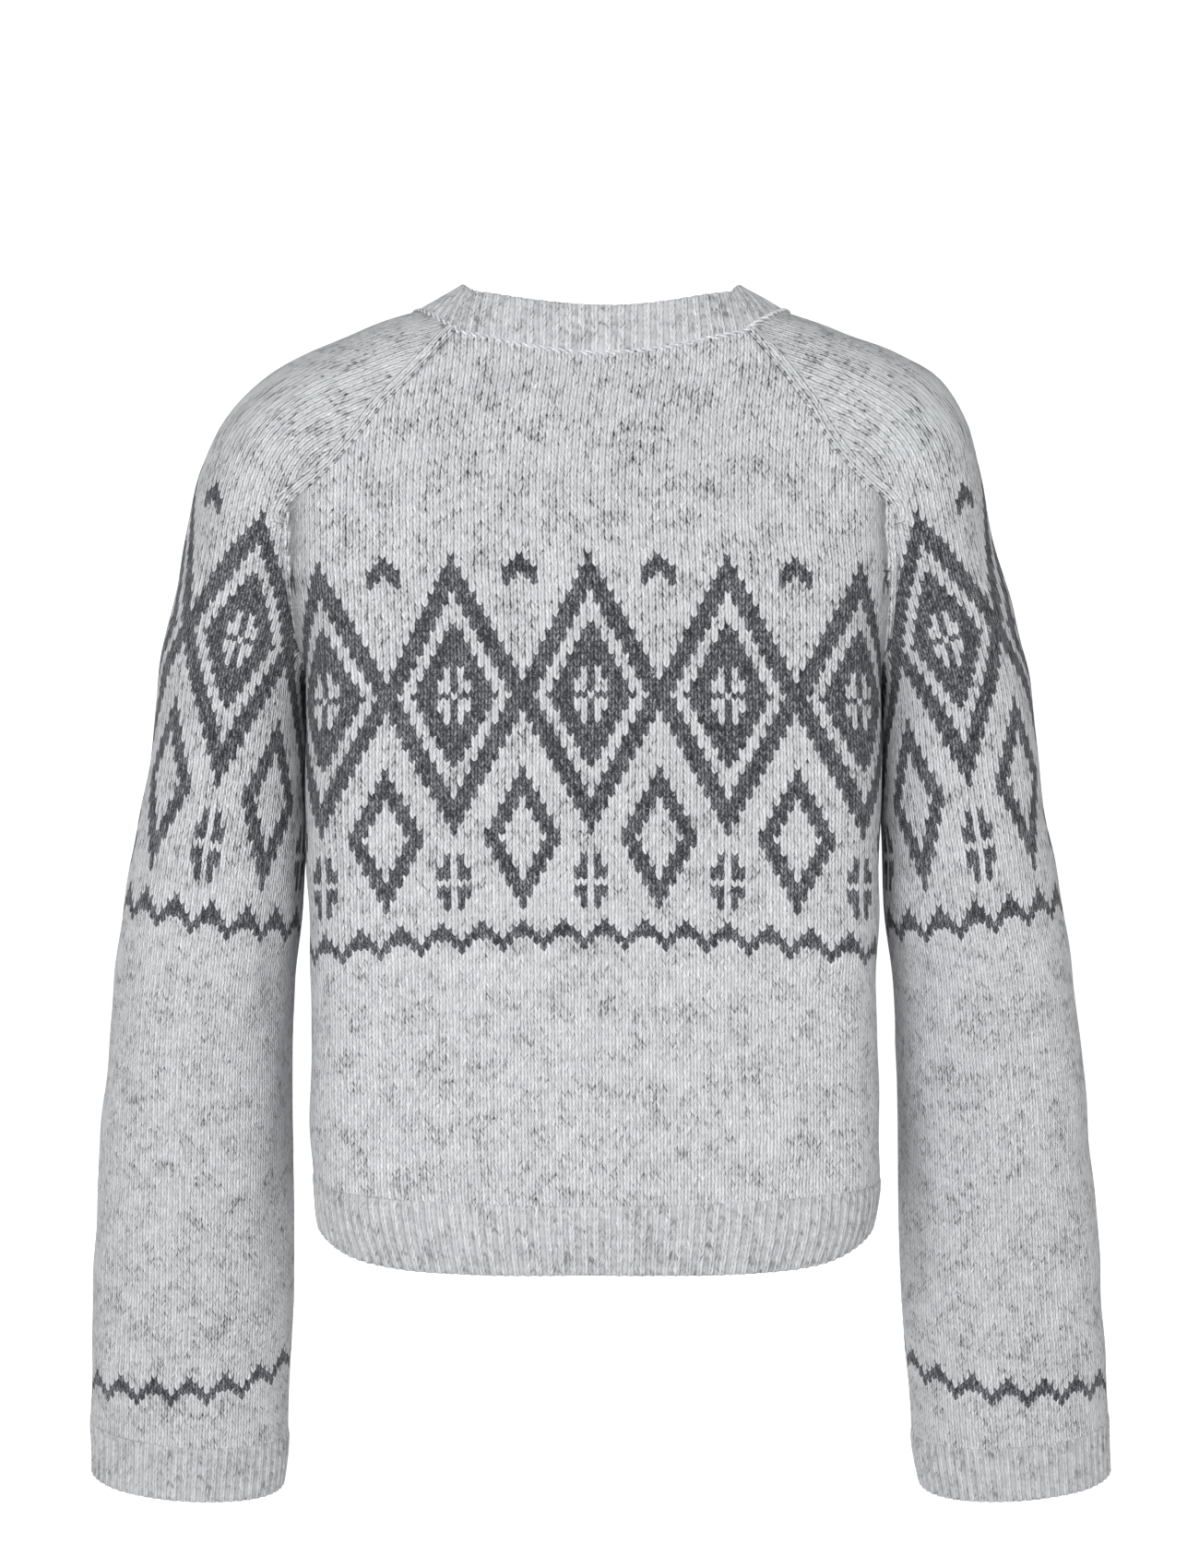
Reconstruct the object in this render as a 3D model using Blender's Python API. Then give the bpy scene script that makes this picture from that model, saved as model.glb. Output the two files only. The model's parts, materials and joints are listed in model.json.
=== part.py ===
"""Raglan cardigan, knitted, filled out as if worn, closed down the front.

Frame: origin at the middle of the neck opening, level with its high points at the
shoulders. +Z up, the front faces -Y, the wearer's left is +X. Tables are in millimetres.
"""
import math

import bpy
import numpy as np

# ---------------------------------------------------------------- driving sizes, mm
wall = 2.4                # thickness of the plain knitting
rib_rise = 1.0            # height of a rib above the wall
seam_gap = 0.3            # between neighbouring pieces
underarm_z = -228.0       # where body, front and sleeve meet
rib_top_mid = -508.4      # top of the hem rib at the middle of the back
hem_mid = -546.9          # lower edge of the hem rib at the middle of the back
cuff_top = -652.0         # level of the sleeve's axis where the cuff starts
cuff_end = -685.0
band_half = 16.0          # half the width of a button band
band_step = 3.9           # the lower band lies this far inside the upper one
neck_back_z = -46.0
neck_front_z = -97.0
hem_pitch = 6.5
cuff_ribs = 56
neck_pitch = 7.2
band_ribs = 5
button_radius = 9.5
button_levels = (-84.0, -172.0, -260.0, -348.0, -436.0, -524.0)

# ---------------------------------------------------------------- section tables, mm
# body: height, half width, depth to the back, depth to the front, roundness (2 = ellipse)
body_table = np.array([
    [-560.0, 145.0, 96.0, 100.0, 3.0],
    [-547.0, 148.5, 98.5, 103.0, 3.0],
    [-528.0, 154.5, 102.0, 107.0, 3.1],
    [-509.0, 157.5, 104.5, 110.0, 3.1],
    [-480.0, 158.5, 105.0, 111.5, 3.2],
    [-400.0, 158.5, 103.0, 112.0, 3.2],
    [-320.0, 160.0, 101.5, 115.0, 3.2],
    [-260.0, 161.0, 102.0, 116.5, 3.1],
    [-228.0, 161.0, 102.5, 116.0, 3.0],
    [-185.0, 162.5, 101.0, 110.0, 2.9],
    [-150.0, 162.0, 97.5, 101.0, 2.8],
    [-125.0, 156.0, 93.0, 93.0, 2.7],
    [-98.0, 140.0, 85.5, 81.0, 2.5],
    [-72.0, 116.0, 75.0, 67.0, 2.35],
    [-46.0, 92.0, 60.0, 52.0, 2.2],
    [-30.0, 79.0, 48.0, 42.0, 2.1],
    [-10.0, 62.0, 30.0, 26.0, 2.0],
])
# sleeve: axis x, y, z, then half width across the arm and half depth front to back
sleeve_table = np.array([
    [66.0, 0.0, -52.0, 42.5, 54.0],
    [95.0, 0.0, -59.0, 43.5, 60.0],
    [123.0, 0.0, -70.0, 43.8, 66.0],
    [148.0, 0.0, -82.0, 45.5, 69.0],
    [159.5, 0.0, -89.5, 46.0, 70.0],
    [169.0, 0.0, -100.5, 45.5, 70.5],
    [176.0, 0.0, -116.0, 44.0, 70.5],
    [182.0, 0.0, -140.5, 43.0, 69.5],
    [190.6, -0.3, -179.0, 42.7, 65.0],
    [196.0, -0.6, -195.0, 42.0, 62.5],
    [200.0, -0.9, -209.0, 41.5, 60.3],
    [202.9, -1.5, -223.0, 41.6, 58.5],
    [204.2, -2.0, -237.0, 42.0, 57.5],
    [205.7, -3.0, -258.0, 43.5, 56.0],
    [209.4, -5.0, -308.0, 46.8, 54.5],
    [214.4, -8.0, -350.0, 50.0, 52.5],
    [219.3, -12.0, -385.0, 50.4, 51.5],
    [222.4, -18.0, -413.0, 51.5, 50.5],
    [226.7, -29.0, -466.5, 54.0, 49.0],
    [229.8, -39.5, -520.4, 56.5, 47.0],
    [232.7, -49.5, -574.8, 57.5, 45.0],
    [236.8, -60.0, -629.7, 57.1, 43.5],
    [239.3, -66.5, -662.8, 57.2, 42.0],
    [241.5, -71.5, -689.0, 55.6, 41.0],
    [243.5, -76.0, -715.0, 55.0, 40.5],
])
# raglan seams: height and direction from the body's axis, at the back and at the front
seam_back = np.array([
    [-32.3, 32.0], [-49.0, 31.2], [-71.0, 30.3], [-89.0, 28.3], [-115.7, 24.0],
    [-133.0, 22.4], [-157.0, 20.0], [-180.0, 17.8], [-205.0, 13.0], [-228.0, 0.0],
])
seam_front = np.array([
    [-54.0, 33.0], [-75.0, 31.0], [-100.0, 27.5], [-125.0, 23.5], [-150.0, 20.0],
    [-180.0, 17.0], [-205.0, 13.0], [-228.0, 0.0],
])
# the whole garment leans a little: height and sideways shift
lean_table = np.array([
    [-700.0, -4.0], [-600.0, -2.2], [-500.0, -0.8], [-350.0, 0.4], [-200.0, 0.6],
    [-110.0, 2.0], [-80.0, 0.0], [-50.0, -3.5], [-20.0, -4.0], [10.0, -4.0],
])
# hem: share of the depth at a point and how far the edge is lifted there
lift_table = np.array([
    [0.0, 20.0], [0.2, 19.0], [0.38, 16.0], [0.5, 12.5], [0.6, 9.0], [0.72, 5.0],
    [0.82, 2.5], [0.92, 0.6], [1.0, 0.0],
])
# neckband: direction round the neck (0 side, 90 back, -90 front), inward and up
collar_table = np.array([
    [-90.0, 9.0, 25.5], [-62.0, 12.0, 24.0], [-36.0, 18.0, 19.5], [-15.0, 24.5, 13.0],
    [0.0, 26.0, 10.5], [16.0, 23.0, 16.0], [31.0, 15.5, 23.5], [60.0, 8.0, 27.0],
    [90.0, 4.5, 27.3],
])


# ---------------------------------------------------------------- smooth reading of a table
def smooth(xs, ys, x):
    slope = np.gradient(ys, xs)
    x = np.clip(x, xs[0], xs[-1])
    k = np.clip(np.searchsorted(xs, x) - 1, 0, len(xs) - 2)
    h = xs[k + 1] - xs[k]
    t = (x - xs[k]) / h
    a = (1.0 + 2.0 * t) * (1.0 - t) ** 2
    b = t * (1.0 - t) ** 2
    c = t * t * (3.0 - 2.0 * t)
    d = t * t * (t - 1.0)
    return a * ys[k] + b * h * slope[k] + c * ys[k + 1] + d * h * slope[k + 1]


def column(table, n, x):
    order = np.argsort(table[:, 0])
    return smooth(table[order, 0], table[order, n], x)


# ---------------------------------------------------------------- the cloth's outer surface
def body_field(p):
    z = p[..., 2]
    a = column(body_table, 1, z)
    n = column(body_table, 4, z)
    b = np.where(p[..., 1] > 0.0, column(body_table, 2, z), column(body_table, 3, z))
    x = np.abs(p[..., 0]) + 1e-6
    y = np.abs(p[..., 1]) + 1e-6
    r = ((x / a) ** n + (y / b) ** n) ** (1.0 / n)
    return np.hypot(x, y) * (1.0 - 1.0 / np.maximum(r, 1e-3))


def sleeve_axis():
    c = sleeve_table[:, :3]
    s = np.concatenate([[0.0], np.cumsum(np.linalg.norm(np.diff(c, axis=0), axis=1))])
    t = np.linspace(0.0, s[-1], 260)
    rows = np.stack([smooth(s, sleeve_table[:, k], t) for k in range(5)], axis=1)
    tangent = np.gradient(rows[:, :3], t, axis=0)
    tangent /= np.linalg.norm(tangent, axis=1)[:, None]
    side = np.cross(np.array([0.0, 1.0, 0.0]), tangent)
    side /= np.linalg.norm(side, axis=1)[:, None]
    side *= -np.sign(side[:, :1] * 1.0 + side[:, 2:] * 1.0 - 1e-9) * -1.0
    back = np.cross(tangent, side)
    return rows, tangent, side, back


axis_rows, axis_tangent, axis_side, axis_back = sleeve_axis()


def sleeve_field(p):
    q = np.stack([np.abs(p[..., 0]), p[..., 1], p[..., 2]], axis=-1)
    flat = q.reshape(-1, 3)
    c = axis_rows[:, :3]
    d2 = (flat ** 2).sum(1)[:, None] + (c ** 2).sum(1)[None, :] - 2.0 * flat @ c.T
    k = d2.argmin(axis=1)
    d = flat - c[k]
    along = (d * axis_tangent[k]).sum(1)
    step = np.linalg.norm(c[1] - c[0])
    f = np.clip(k + along / step, 0, len(c) - 1.001)
    k0 = f.astype(int)
    w = (f - k0)[:, None]
    centre = c[k0] * (1 - w) + c[k0 + 1] * w
    side = axis_side[k0] * (1 - w) + axis_side[k0 + 1] * w
    back = axis_back[k0] * (1 - w) + axis_back[k0 + 1] * w
    half = axis_rows[k0, 3:] * (1 - w) + axis_rows[k0 + 1, 3:] * w
    d = flat - centre
    u = np.abs((d * side).sum(1)) + 1e-6
    v = np.abs((d * back).sum(1)) + 1e-6
    past = np.maximum(-(d * axis_tangent[k0]).sum(1), 0.0) * (f <= 0.0)
    n = 2.15
    r = ((u / half[:, 0]) ** n + (v / half[:, 1]) ** n + (past / 50.0) ** n) ** (1.0 / n)
    size = np.sqrt(u * u + v * v + past * past)
    return (size * (1.0 - 1.0 / np.maximum(r, 1e-3))).reshape(q.shape[:-1])


def joined_field(p):
    a = body_field(p)
    b = sleeve_field(p)
    z = p[..., 2]
    k = merge_size(z)
    h = np.maximum(k - np.abs(a - b), 0.0) / k
    return np.minimum(a, b) - h * h * k * 0.25


def cast(field, start, direction, near=4.0, far=150.0, steps=40):
    t_in = np.full(start.shape[:-1], near)
    t_out = np.full(start.shape[:-1], far)
    found = np.zeros(start.shape[:-1], bool)
    for t in np.linspace(near, far, steps)[1:]:
        f = field(start + direction * t)
        hit = (~found) & (f > 0.0)
        t_out = np.where(hit, t, t_out)
        t_in = np.where(found | hit, t_in, t)
        found |= hit
    for _ in range(18):
        mid = 0.5 * (t_in + t_out)
        f = field(start + direction * mid[..., None])
        t_in = np.where(f > 0.0, t_in, mid)
        t_out = np.where(f > 0.0, mid, t_out)
    return start + direction * (0.5 * (t_in + t_out))[..., None]


def slope_of(field, p, e=0.6):
    g = np.stack([
        field(p + np.array([e, 0, 0])) - field(p - np.array([e, 0, 0])),
        field(p + np.array([0, e, 0])) - field(p - np.array([0, e, 0])),
        field(p + np.array([0, 0, e])) - field(p - np.array([0, 0, e])),
    ], axis=-1)
    return g / np.linalg.norm(g, axis=-1)[..., None]


def merge_size(z):
    """Width of the smooth blend between body and sleeve; none at the underarm."""
    return 42.0 * np.clip((z - underarm_z - 4.0) / 90.0, 0.0, 1.0) + 0.01


def near_own(own_field, start, way):
    """Surface of body and sleeve together, within the blend's reach of one of them."""
    plain = cast(own_field, start, way, 4.0, 245.0, 60)
    t_in = np.linalg.norm(plain - start, axis=-1) - 0.3
    t_out = t_in + 0.6 + 0.6 * merge_size(plain[..., 2])
    for _ in range(16):
        mid = 0.5 * (t_in + t_out)
        f = joined_field(start + way * mid[..., None])
        t_in = np.where(f > 0.0, t_in, mid)
        t_out = np.where(f > 0.0, mid, t_out)
    joined = start + way * t_out[..., None]
    return np.where((merge_size(plain[..., 2]) > 0.02)[..., None], joined, plain)


def body_points(z, angle):
    """Points of the body's surface at height z, in direction angle round its axis."""
    z = np.asarray(z, float)
    angle = np.asarray(angle, float)
    start = np.stack([np.zeros_like(z), np.zeros_like(z), z], axis=-1)
    way = np.stack([np.cos(angle), np.sin(angle), np.zeros_like(z)], axis=-1)
    return near_own(body_field, start, way)


def angle_for_x(z, x, back):
    """Direction in which the body's surface at height z is x from the middle."""
    z = np.asarray(z, float)
    x = np.asarray(x, float)
    lo = np.full(z.shape, 0.0)
    hi = np.full(z.shape, math.pi / 2)
    sign = 1.0 if back else -1.0
    for _ in range(22):
        mid = 0.5 * (lo + hi)
        far = body_points(z, sign * mid)[..., 0] > x
        lo = np.where(far, mid, lo)
        hi = np.where(far, hi, mid)
    return 0.5 * (lo + hi)


# ---------------------------------------------------------------- turning grids into pieces
def lean(p):
    q = p.copy()
    q[..., 0] += column(lean_table, 1, q[..., 2])
    return q


def mirrored(grid):
    g = grid.copy()
    g[..., 0] *= -1.0
    return g[:, ::-1]


def grid_normals(g):
    du = np.gradient(g, axis=1)
    dv = np.gradient(g, axis=0)
    n = np.cross(du, dv)
    return n / np.linalg.norm(n, axis=-1)[..., None]


def pulled(g, left=0.0, right=0.0, low=0.0, high=0.0):
    """Draw the grid's edges back by small amounts, square to each edge and along the cloth."""
    g = g.copy()

    def moved(edge, nearby, d):
        t = np.gradient(edge, axis=0)
        t /= np.linalg.norm(t, axis=-1)[..., None]
        v = nearby - edge
        v = v - (v * t).sum(-1)[..., None] * t
        return edge + d * v / np.linalg.norm(v, axis=-1)[..., None]

    if left:
        g[:, 0] = moved(g[:, 0], g[:, 1], left)
    if right:
        g[:, -1] = moved(g[:, -1], g[:, -2], right)
    if low:
        g[0] = moved(g[0], g[1], low)
    if high:
        g[-1] = moved(g[-1], g[-2], high)
    return g


def squared(n, col):
    """Make one end column's normals lie square to the middle front line."""
    n = n.copy()
    n[:, col, 0] = 0.0
    return n / np.linalg.norm(n, axis=-1)[..., None]


def rim(a, b, off, flip):
    """Two triangles across the wall's edge, split the same way on both sides of a seam."""
    pair = [(a, off + a, off + b), (a, off + b, b)]
    return [t[::-1] for t in pair] if flip else pair


def shell(name, outer, inner, material, round_closed=False):
    """One closed solid between two grids of points (rows up, columns to the wearer's back)."""
    rows, cols = outer.shape[:2]
    verts = [tuple(v * 0.001) for v in lean(outer).reshape(-1, 3)]
    verts += [tuple(v * 0.001) for v in lean(inner).reshape(-1, 3)]
    off = rows * cols
    faces = []
    last = cols if round_closed else cols - 1
    for i in range(rows - 1):
        for j in range(last):
            k = (j + 1) % cols
            a, b, c, d = i * cols + j, i * cols + k, (i + 1) * cols + k, (i + 1) * cols + j
            faces.append((a, b, c))
            faces.append((a, c, d))
            faces.append((off + a, off + c, off + b))
            faces.append((off + a, off + d, off + c))
    for j in range(last):
        k = (j + 1) % cols
        for row, flip in ((0, False), (rows - 1, True)):
            a, b = row * cols + j, row * cols + k
            faces += rim(a, b, off, flip)
    if not round_closed:
        for i in range(rows - 1):
            for col, flip in ((0, True), (cols - 1, False)):
                a, b = i * cols + col, (i + 1) * cols + col
                faces += rim(a, b, off, flip)
    return solid(name, verts, faces, material)


def solid(name, verts, faces, material):
    mesh = bpy.data.meshes.new(name)
    mesh.from_pydata(verts, [], faces)
    mesh.validate()
    p = np.array(verts)
    f = np.array(faces)
    volume = np.einsum("ij,ij->", p[f[:, 0]], np.cross(p[f[:, 1]], p[f[:, 2]])) / 6.0
    if volume < 0.0:
        mesh.flip_normals()
    mesh.polygons.foreach_set("use_smooth", [True] * len(mesh.polygons))
    ob = bpy.data.objects.new(name, mesh)
    ob.data.materials.append(material)
    collection.objects.link(ob)
    print(name, len(mesh.polygons), "triangles", round(abs(volume) * 1e6, 1), "cm3")
    return ob


def paint(name, colour, roughness=0.9, metallic=0.0):
    m = bpy.data.materials.new(name)
    m.use_nodes = True
    shader = m.node_tree.nodes["Principled BSDF"]
    shader.inputs["Base Color"].default_value = (*colour, 1.0)
    shader.inputs["Roughness"].default_value = roughness
    shader.inputs["Metallic"].default_value = metallic
    return m


def walls(outer, normal):
    """Outer and inner points; the outside is drawn in by half a seam's gap."""
    return outer - normal * seam_gap * 0.5, outer - normal * wall


def sink(p, inward):
    """Left front edge steps inward so that the lower band passes under the upper one."""
    x = p[..., 0]
    t = np.clip((34.0 - x) / 15.0, 0.0, 1.0)
    depth = band_step * t * t * (3.0 - 2.0 * t) * (x > 0.0) * (p[..., 1] < 0.0)
    return p - inward * depth[..., None]


# ---------------------------------------------------------------- body pieces
def even(points, count, turn=22.0):
    """Spread a dense line of points along its length, closer where it turns."""
    step = np.diff(points, axis=0)
    size = np.linalg.norm(step, axis=1)
    way = step / size[:, None]
    bend = np.arccos(np.clip((way[1:] * way[:-1]).sum(1), -1.0, 1.0))
    bend = np.convolve(bend, np.ones(5) / 5.0, mode="same")
    size[1:] += turn * bend
    d = np.concatenate([[0.0], np.cumsum(size)])
    t = np.linspace(0.0, d[-1], count)
    return np.stack([np.interp(t, d, points[:, k]) for k in range(3)], axis=1)


side_low = rib_top_mid + 11.0


def body_rows(mid_top, side_top, low_rows, high_rows):
    """Heights of the rows at the piece's middle and at its side edge."""
    below = np.linspace(side_low, underarm_z, low_rows)
    rise = np.linspace(0.0, 1.0, high_rows + 1)[1:] ** 1.55
    above = underarm_z + (side_top - underarm_z) * rise
    side = np.concatenate([below, above])
    share = (side - side_low) / (side_top - side_low)
    mid = rib_top_mid + share * (mid_top - rib_top_mid)
    return side, mid


def crease_angle(z, back):
    """Direction of the crease between body and sleeve, just above the underarm."""
    z = np.minimum(z, -150.0)
    lo = np.zeros_like(z)
    hi = np.full_like(z, 0.9)
    start = np.stack([0.0 * z, 0.0 * z, z], axis=-1)
    for _ in range(20):
        mid = 0.5 * (lo + hi)
        side = np.sin(mid) if back else -np.sin(mid)
        way = np.stack([np.cos(mid), side, 0.0 * z], axis=-1)
        inside = sleeve_field(cast(body_field, start, way, 60.0, 200.0, 30)) < 0.0
        lo = np.where(inside, mid, lo)
        hi = np.where(inside, hi, mid)
    return 0.5 * (lo + hi)


def edge_angle(z, table, back):
    """Direction of a side seam or raglan seam from the body's axis."""
    drawn = np.radians(column(table, 1, np.maximum(z, underarm_z)))
    t = np.clip((z + 222.0) / 55.0, 0.0, 1.0)
    share = t * t * (3.0 - 2.0 * t)
    a = drawn * share + crease_angle(z, back) * (1.0 - share)
    return np.where(z > underarm_z + 0.01, a, 0.0)


def back_grid(low_rows, high_rows, cols, dense=90):
    side, mid = body_rows(neck_back_z, seam_back[0, 0], low_rows, high_rows)
    start = edge_angle(side, seam_back, True)
    t = np.linspace(0.0, 1.0, dense)
    rows = []
    for z_side, z_mid, a in zip(side, mid, start):
        angle = a + (math.pi - 2 * a) * t
        weight = np.abs(2 * t - 1) ** 2.2
        z = z_mid + (z_side - z_mid) * weight
        rows.append(even(body_points(z, angle), cols + 1))
    return np.array(rows)


def front_grid(low_rows, high_rows, cols, dense=60):
    """The wearer's left front, from the side edge to the front edge."""
    side, mid = body_rows(neck_front_z, seam_front[0, 0], low_rows, high_rows)
    start = edge_angle(side, seam_front, False)
    stop = angle_for_x(mid, np.full_like(mid, band_half), False)
    t = np.linspace(0.0, 1.0, dense)
    rows = []
    for z_side, z_mid, a, b in zip(side, mid, start, stop):
        angle = -(a + (b - a) * t)
        weight = (1 - t) ** 2.0
        z = z_mid + (z_side - z_mid) * weight
        rows.append(even(body_points(z, angle), cols + 1))
    return np.array(rows)


def cloth_normals(g, own_field):
    """Normals of a piece: its own side of the crease near the underarm, blended higher up."""
    t = np.clip((g[..., 2:] + 205.0) / 50.0, 0.0, 1.0)
    share = t * t * (3.0 - 2.0 * t)
    n = slope_of(joined_field, g) * share + slope_of(own_field, g) * (1.0 - share)
    return n / np.linalg.norm(n, axis=-1)[..., None]


# ---------------------------------------------------------------- sleeves
def sleeve_rows(cap_rows, arm_rows):
    """Centre, outward direction and edge points of each row from neck to cuff."""
    rows = []
    rise = np.linspace(1.0, 0.0, cap_rows + 1) ** 1.55
    tb = underarm_z + (seam_back[0, 0] - underarm_z) * rise
    tf = underarm_z + (seam_front[0, 0] - underarm_z) * rise
    ab = edge_angle(tb, seam_back, True)
    af = edge_angle(tf, seam_front, False)
    pb = body_points(tb, ab)
    pf = body_points(tf, -af)
    share = 1.0 - rise
    tilt = np.radians(np.interp(share, [0.0, 0.2, 0.45, 0.75, 1.0],
                                [52.0, 44.0, 27.0, 9.0, 0.0]))
    reach = np.interp(share, [0.0, 0.3, 0.6, 0.85, 1.0], [-6.0, 0.0, 10.0, 30.0, 41.0])
    for k in range(cap_rows + 1):
        m = np.array([math.cos(tilt[k]), 0.0, math.sin(tilt[k])])
        middle = 0.5 * (pb[k] + pf[k])
        middle[1] = 0.0
        centre = middle + m * reach[k]
        if k == cap_rows:
            centre = np.array([203.0, -2.0, underarm_z])
            pb[k] = pf[k] = np.array([161.6, -1.0, underarm_z])
        rows.append((centre, m, pb[k], pf[k], joined_field if k < cap_rows else sleeve_field))
    z = np.linspace(underarm_z, cuff_top, arm_rows + 1)[1:]
    c = axis_rows[:, 2][::-1]
    for level in z:
        k = int(np.argmin(np.abs(axis_rows[:, 2] - level)))
        w = np.interp(level, c, axis_rows[:, 0][::-1])
        y = np.interp(level, c, axis_rows[:, 1][::-1])
        rows.append((np.array([w, y, level]), axis_side[k], None, None, sleeve_field))
    return rows


def sleeve_grid(cap_rows, arm_rows, cols, dense=72):
    """Rows run from the cuff up to the neck, columns from the front edge over the outside."""
    grid = []
    for centre, m, pb, pf, field in sleeve_rows(cap_rows, arm_rows):
        y_axis = np.array([0.0, 1.0, 0.0])
        if pb is None:
            k = int(np.argmin(np.abs(axis_rows[:, 2] - centre[2])))
            y_axis = axis_back[k] * np.sign(axis_back[k][1])
            tb = tf = math.pi - 1e-3
            wb = wf = 0.0
            n = np.cross(m, y_axis)
        else:
            n = np.cross(m, y_axis)
            db, df = pb - centre, pf - centre
            tb = math.atan2(db @ y_axis, db @ m)
            tf = -math.atan2(df @ y_axis, df @ m)
            if field is sleeve_field:
                tb = tf = math.pi - 1e-3
            wb = (db @ n) / math.hypot(db @ y_axis, db @ m)
            wf = (df @ n) / math.hypot(df @ y_axis, df @ m)
        t = np.linspace(-tf, tb, dense)
        share = (t + tf) / (tb + tf)
        w = wf * np.clip(1 - 2 * share, 0, 1) ** 1.5 + wb * np.clip(2 * share - 1, 0, 1) ** 1.5
        way = np.cos(t)[:, None] * m + np.sin(t)[:, None] * y_axis + w[:, None] * n
        way /= np.linalg.norm(way, axis=1)[:, None]
        start = np.repeat(centre[None, :], dense, axis=0)
        line = cast(field, start, way, 4.0, 130.0, 50)
        if pb is not None and centre[2] < -195.0 and field is joined_field:
            line = near_own(sleeve_field, start, way)
        if pb is not None and field is joined_field:
            line[0], line[-1] = pf, pb
        grid.append(even(line, cols + 1))
    return np.array(grid)[::-1]


# ---------------------------------------------------------------- ribbed edges
def on_line(line, t):
    """Points at shares t of the length of a line of points."""
    d = np.concatenate([[0.0], np.cumsum(np.linalg.norm(np.diff(line[:, :3], axis=0), axis=1))])
    return np.stack([np.interp(t * d[-1], d, line[:, k]) for k in range(line.shape[1])], axis=1)


def length_of(line):
    return np.linalg.norm(np.diff(line, axis=0), axis=1).sum()


def rib_shell(name, base, normal, material, round_closed=False):
    """A ribbed strip: every other column is raised, in the outer points only."""
    crest = (np.arange(base.shape[1]) % 2 == 1).astype(float)[None, :]
    outer = base + normal * (rib_rise * crest - seam_gap * 0.5)[..., None]
    inner = base - normal * wall
    return shell(name, outer, inner, material, round_closed)


def hem_grid(edge, edge_normal):
    """Rows from the lower edge up to the seam under a body piece."""
    count = int(round(length_of(edge) / hem_pitch))
    line = on_line(np.concatenate([edge, edge_normal], axis=1), np.linspace(0, 1, 2 * count + 1))
    top, normal = line[:, :3], line[:, 3:]
    angle = np.arctan2(top[:, 1], top[:, 0])
    low_z = np.full(len(angle), hem_mid)
    if top[-1, 1] < 0.0:
        end = -angle_for_x(np.array([hem_mid]), np.array([band_half]), False)[0]
        low_angle = angle + (end - angle[-1]) * np.linspace(0.0, 1.0, len(angle)) ** 4
    else:
        low_angle = angle
    for _ in range(3):
        p = body_points(low_z, low_angle)
        side = np.where(p[:, 1] < 0.0, column(body_table, 3, low_z), column(body_table, 2, low_z))
        low_z = hem_mid + column(lift_table, 1, np.clip(np.abs(p[:, 1]) / side, 0.0, 1.0))
    low = body_points(low_z, low_angle)
    mid = body_points(0.5 * (low_z + top[:, 2]), 0.5 * (low_angle + angle))
    if top[-1, 1] < 0.0:
        low[-1, 0] = mid[-1, 0] = band_half
    grid = np.stack([low, mid, top])
    normals = np.stack([slope_of(body_field, low), slope_of(body_field, mid), normal])
    return grid, normals


def plan_inward(line):
    t = np.gradient(line, axis=0)[:, :2]
    n = np.stack([-t[:, 1], t[:, 0]], axis=1)
    for _ in range(6):
        n[1:-1] = 0.25 * n[:-2] + 0.5 * n[1:-1] + 0.25 * n[2:]
    n /= np.linalg.norm(n, axis=1)[:, None]
    n[0] = (0.0, 1.0)
    n[-1] = (0.0, -1.0)
    return n


def neck_grid(edge, edge_normal):
    """Half of the neckband, from the front edge round the side to the middle of the back."""
    count = int(round(length_of(edge) / neck_pitch))
    line = np.concatenate([edge, edge_normal], axis=1)
    points = on_line(line, np.linspace(0.0, 1.0, 2 * count + 1))
    low, normal = points[:, :3], points[:, 3:]
    inward = plan_inward(low)
    angle = np.degrees(np.arctan2(low[:, 1], low[:, 0]))
    move = np.stack([inward[:, 0], inward[:, 1], 0.0 * angle], axis=1)
    move *= column(collar_table, 1, angle)[:, None]
    move[:, 2] = column(collar_table, 2, angle)
    way = move / np.linalg.norm(move, axis=1)[:, None]
    low = low + way * seam_gap
    top = low + move
    mid = low + move * 0.5
    grid = np.stack([low, mid, top])
    n = grid_normals(grid)
    n *= np.sign((n[0] * normal).sum(axis=-1))[None, :, None]
    n[0] = normal
    n[1] = n[1] * 0.6 + normal * 0.4
    n /= np.linalg.norm(n, axis=-1)[..., None]
    grid[1] += n[1] * 0.8
    return grid, n


def cuff_grid(edge, edge_normal):
    """A closed ring of ribs under the sleeve's lower edge."""
    ring = np.concatenate([edge, edge[:1]], axis=0)
    ring_n = np.concatenate([edge_normal, edge_normal[:1]], axis=0)
    share = np.linspace(0.0, 1.0, 2 * cuff_ribs + 1)[:-1]
    line = on_line(np.concatenate([ring, ring_n], axis=1), share)
    top, normal = line[:, :3], line[:, 3:]
    rows, normals = [], []
    for level in (cuff_end,):
        k = int(np.argmin(np.abs(axis_rows[:, 2] - level)))
        top_k = int(np.argmin(np.abs(axis_rows[:, 2] - cuff_top)))
        d = top - axis_rows[top_k, :3]
        turn = np.arctan2(d @ axis_back[top_k], d @ axis_side[top_k])
        way = np.cos(turn)[:, None] * axis_side[k] + np.sin(turn)[:, None] * axis_back[k]
        start = np.repeat(axis_rows[k:k + 1, :3], len(turn), axis=0)
        p = cast(sleeve_field, start, way, 4.0, 130.0, 50)
        rows.append(p)
        normals.append(slope_of(sleeve_field, p))
    return np.stack(rows + [top]), np.stack(normals + [normal])


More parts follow.
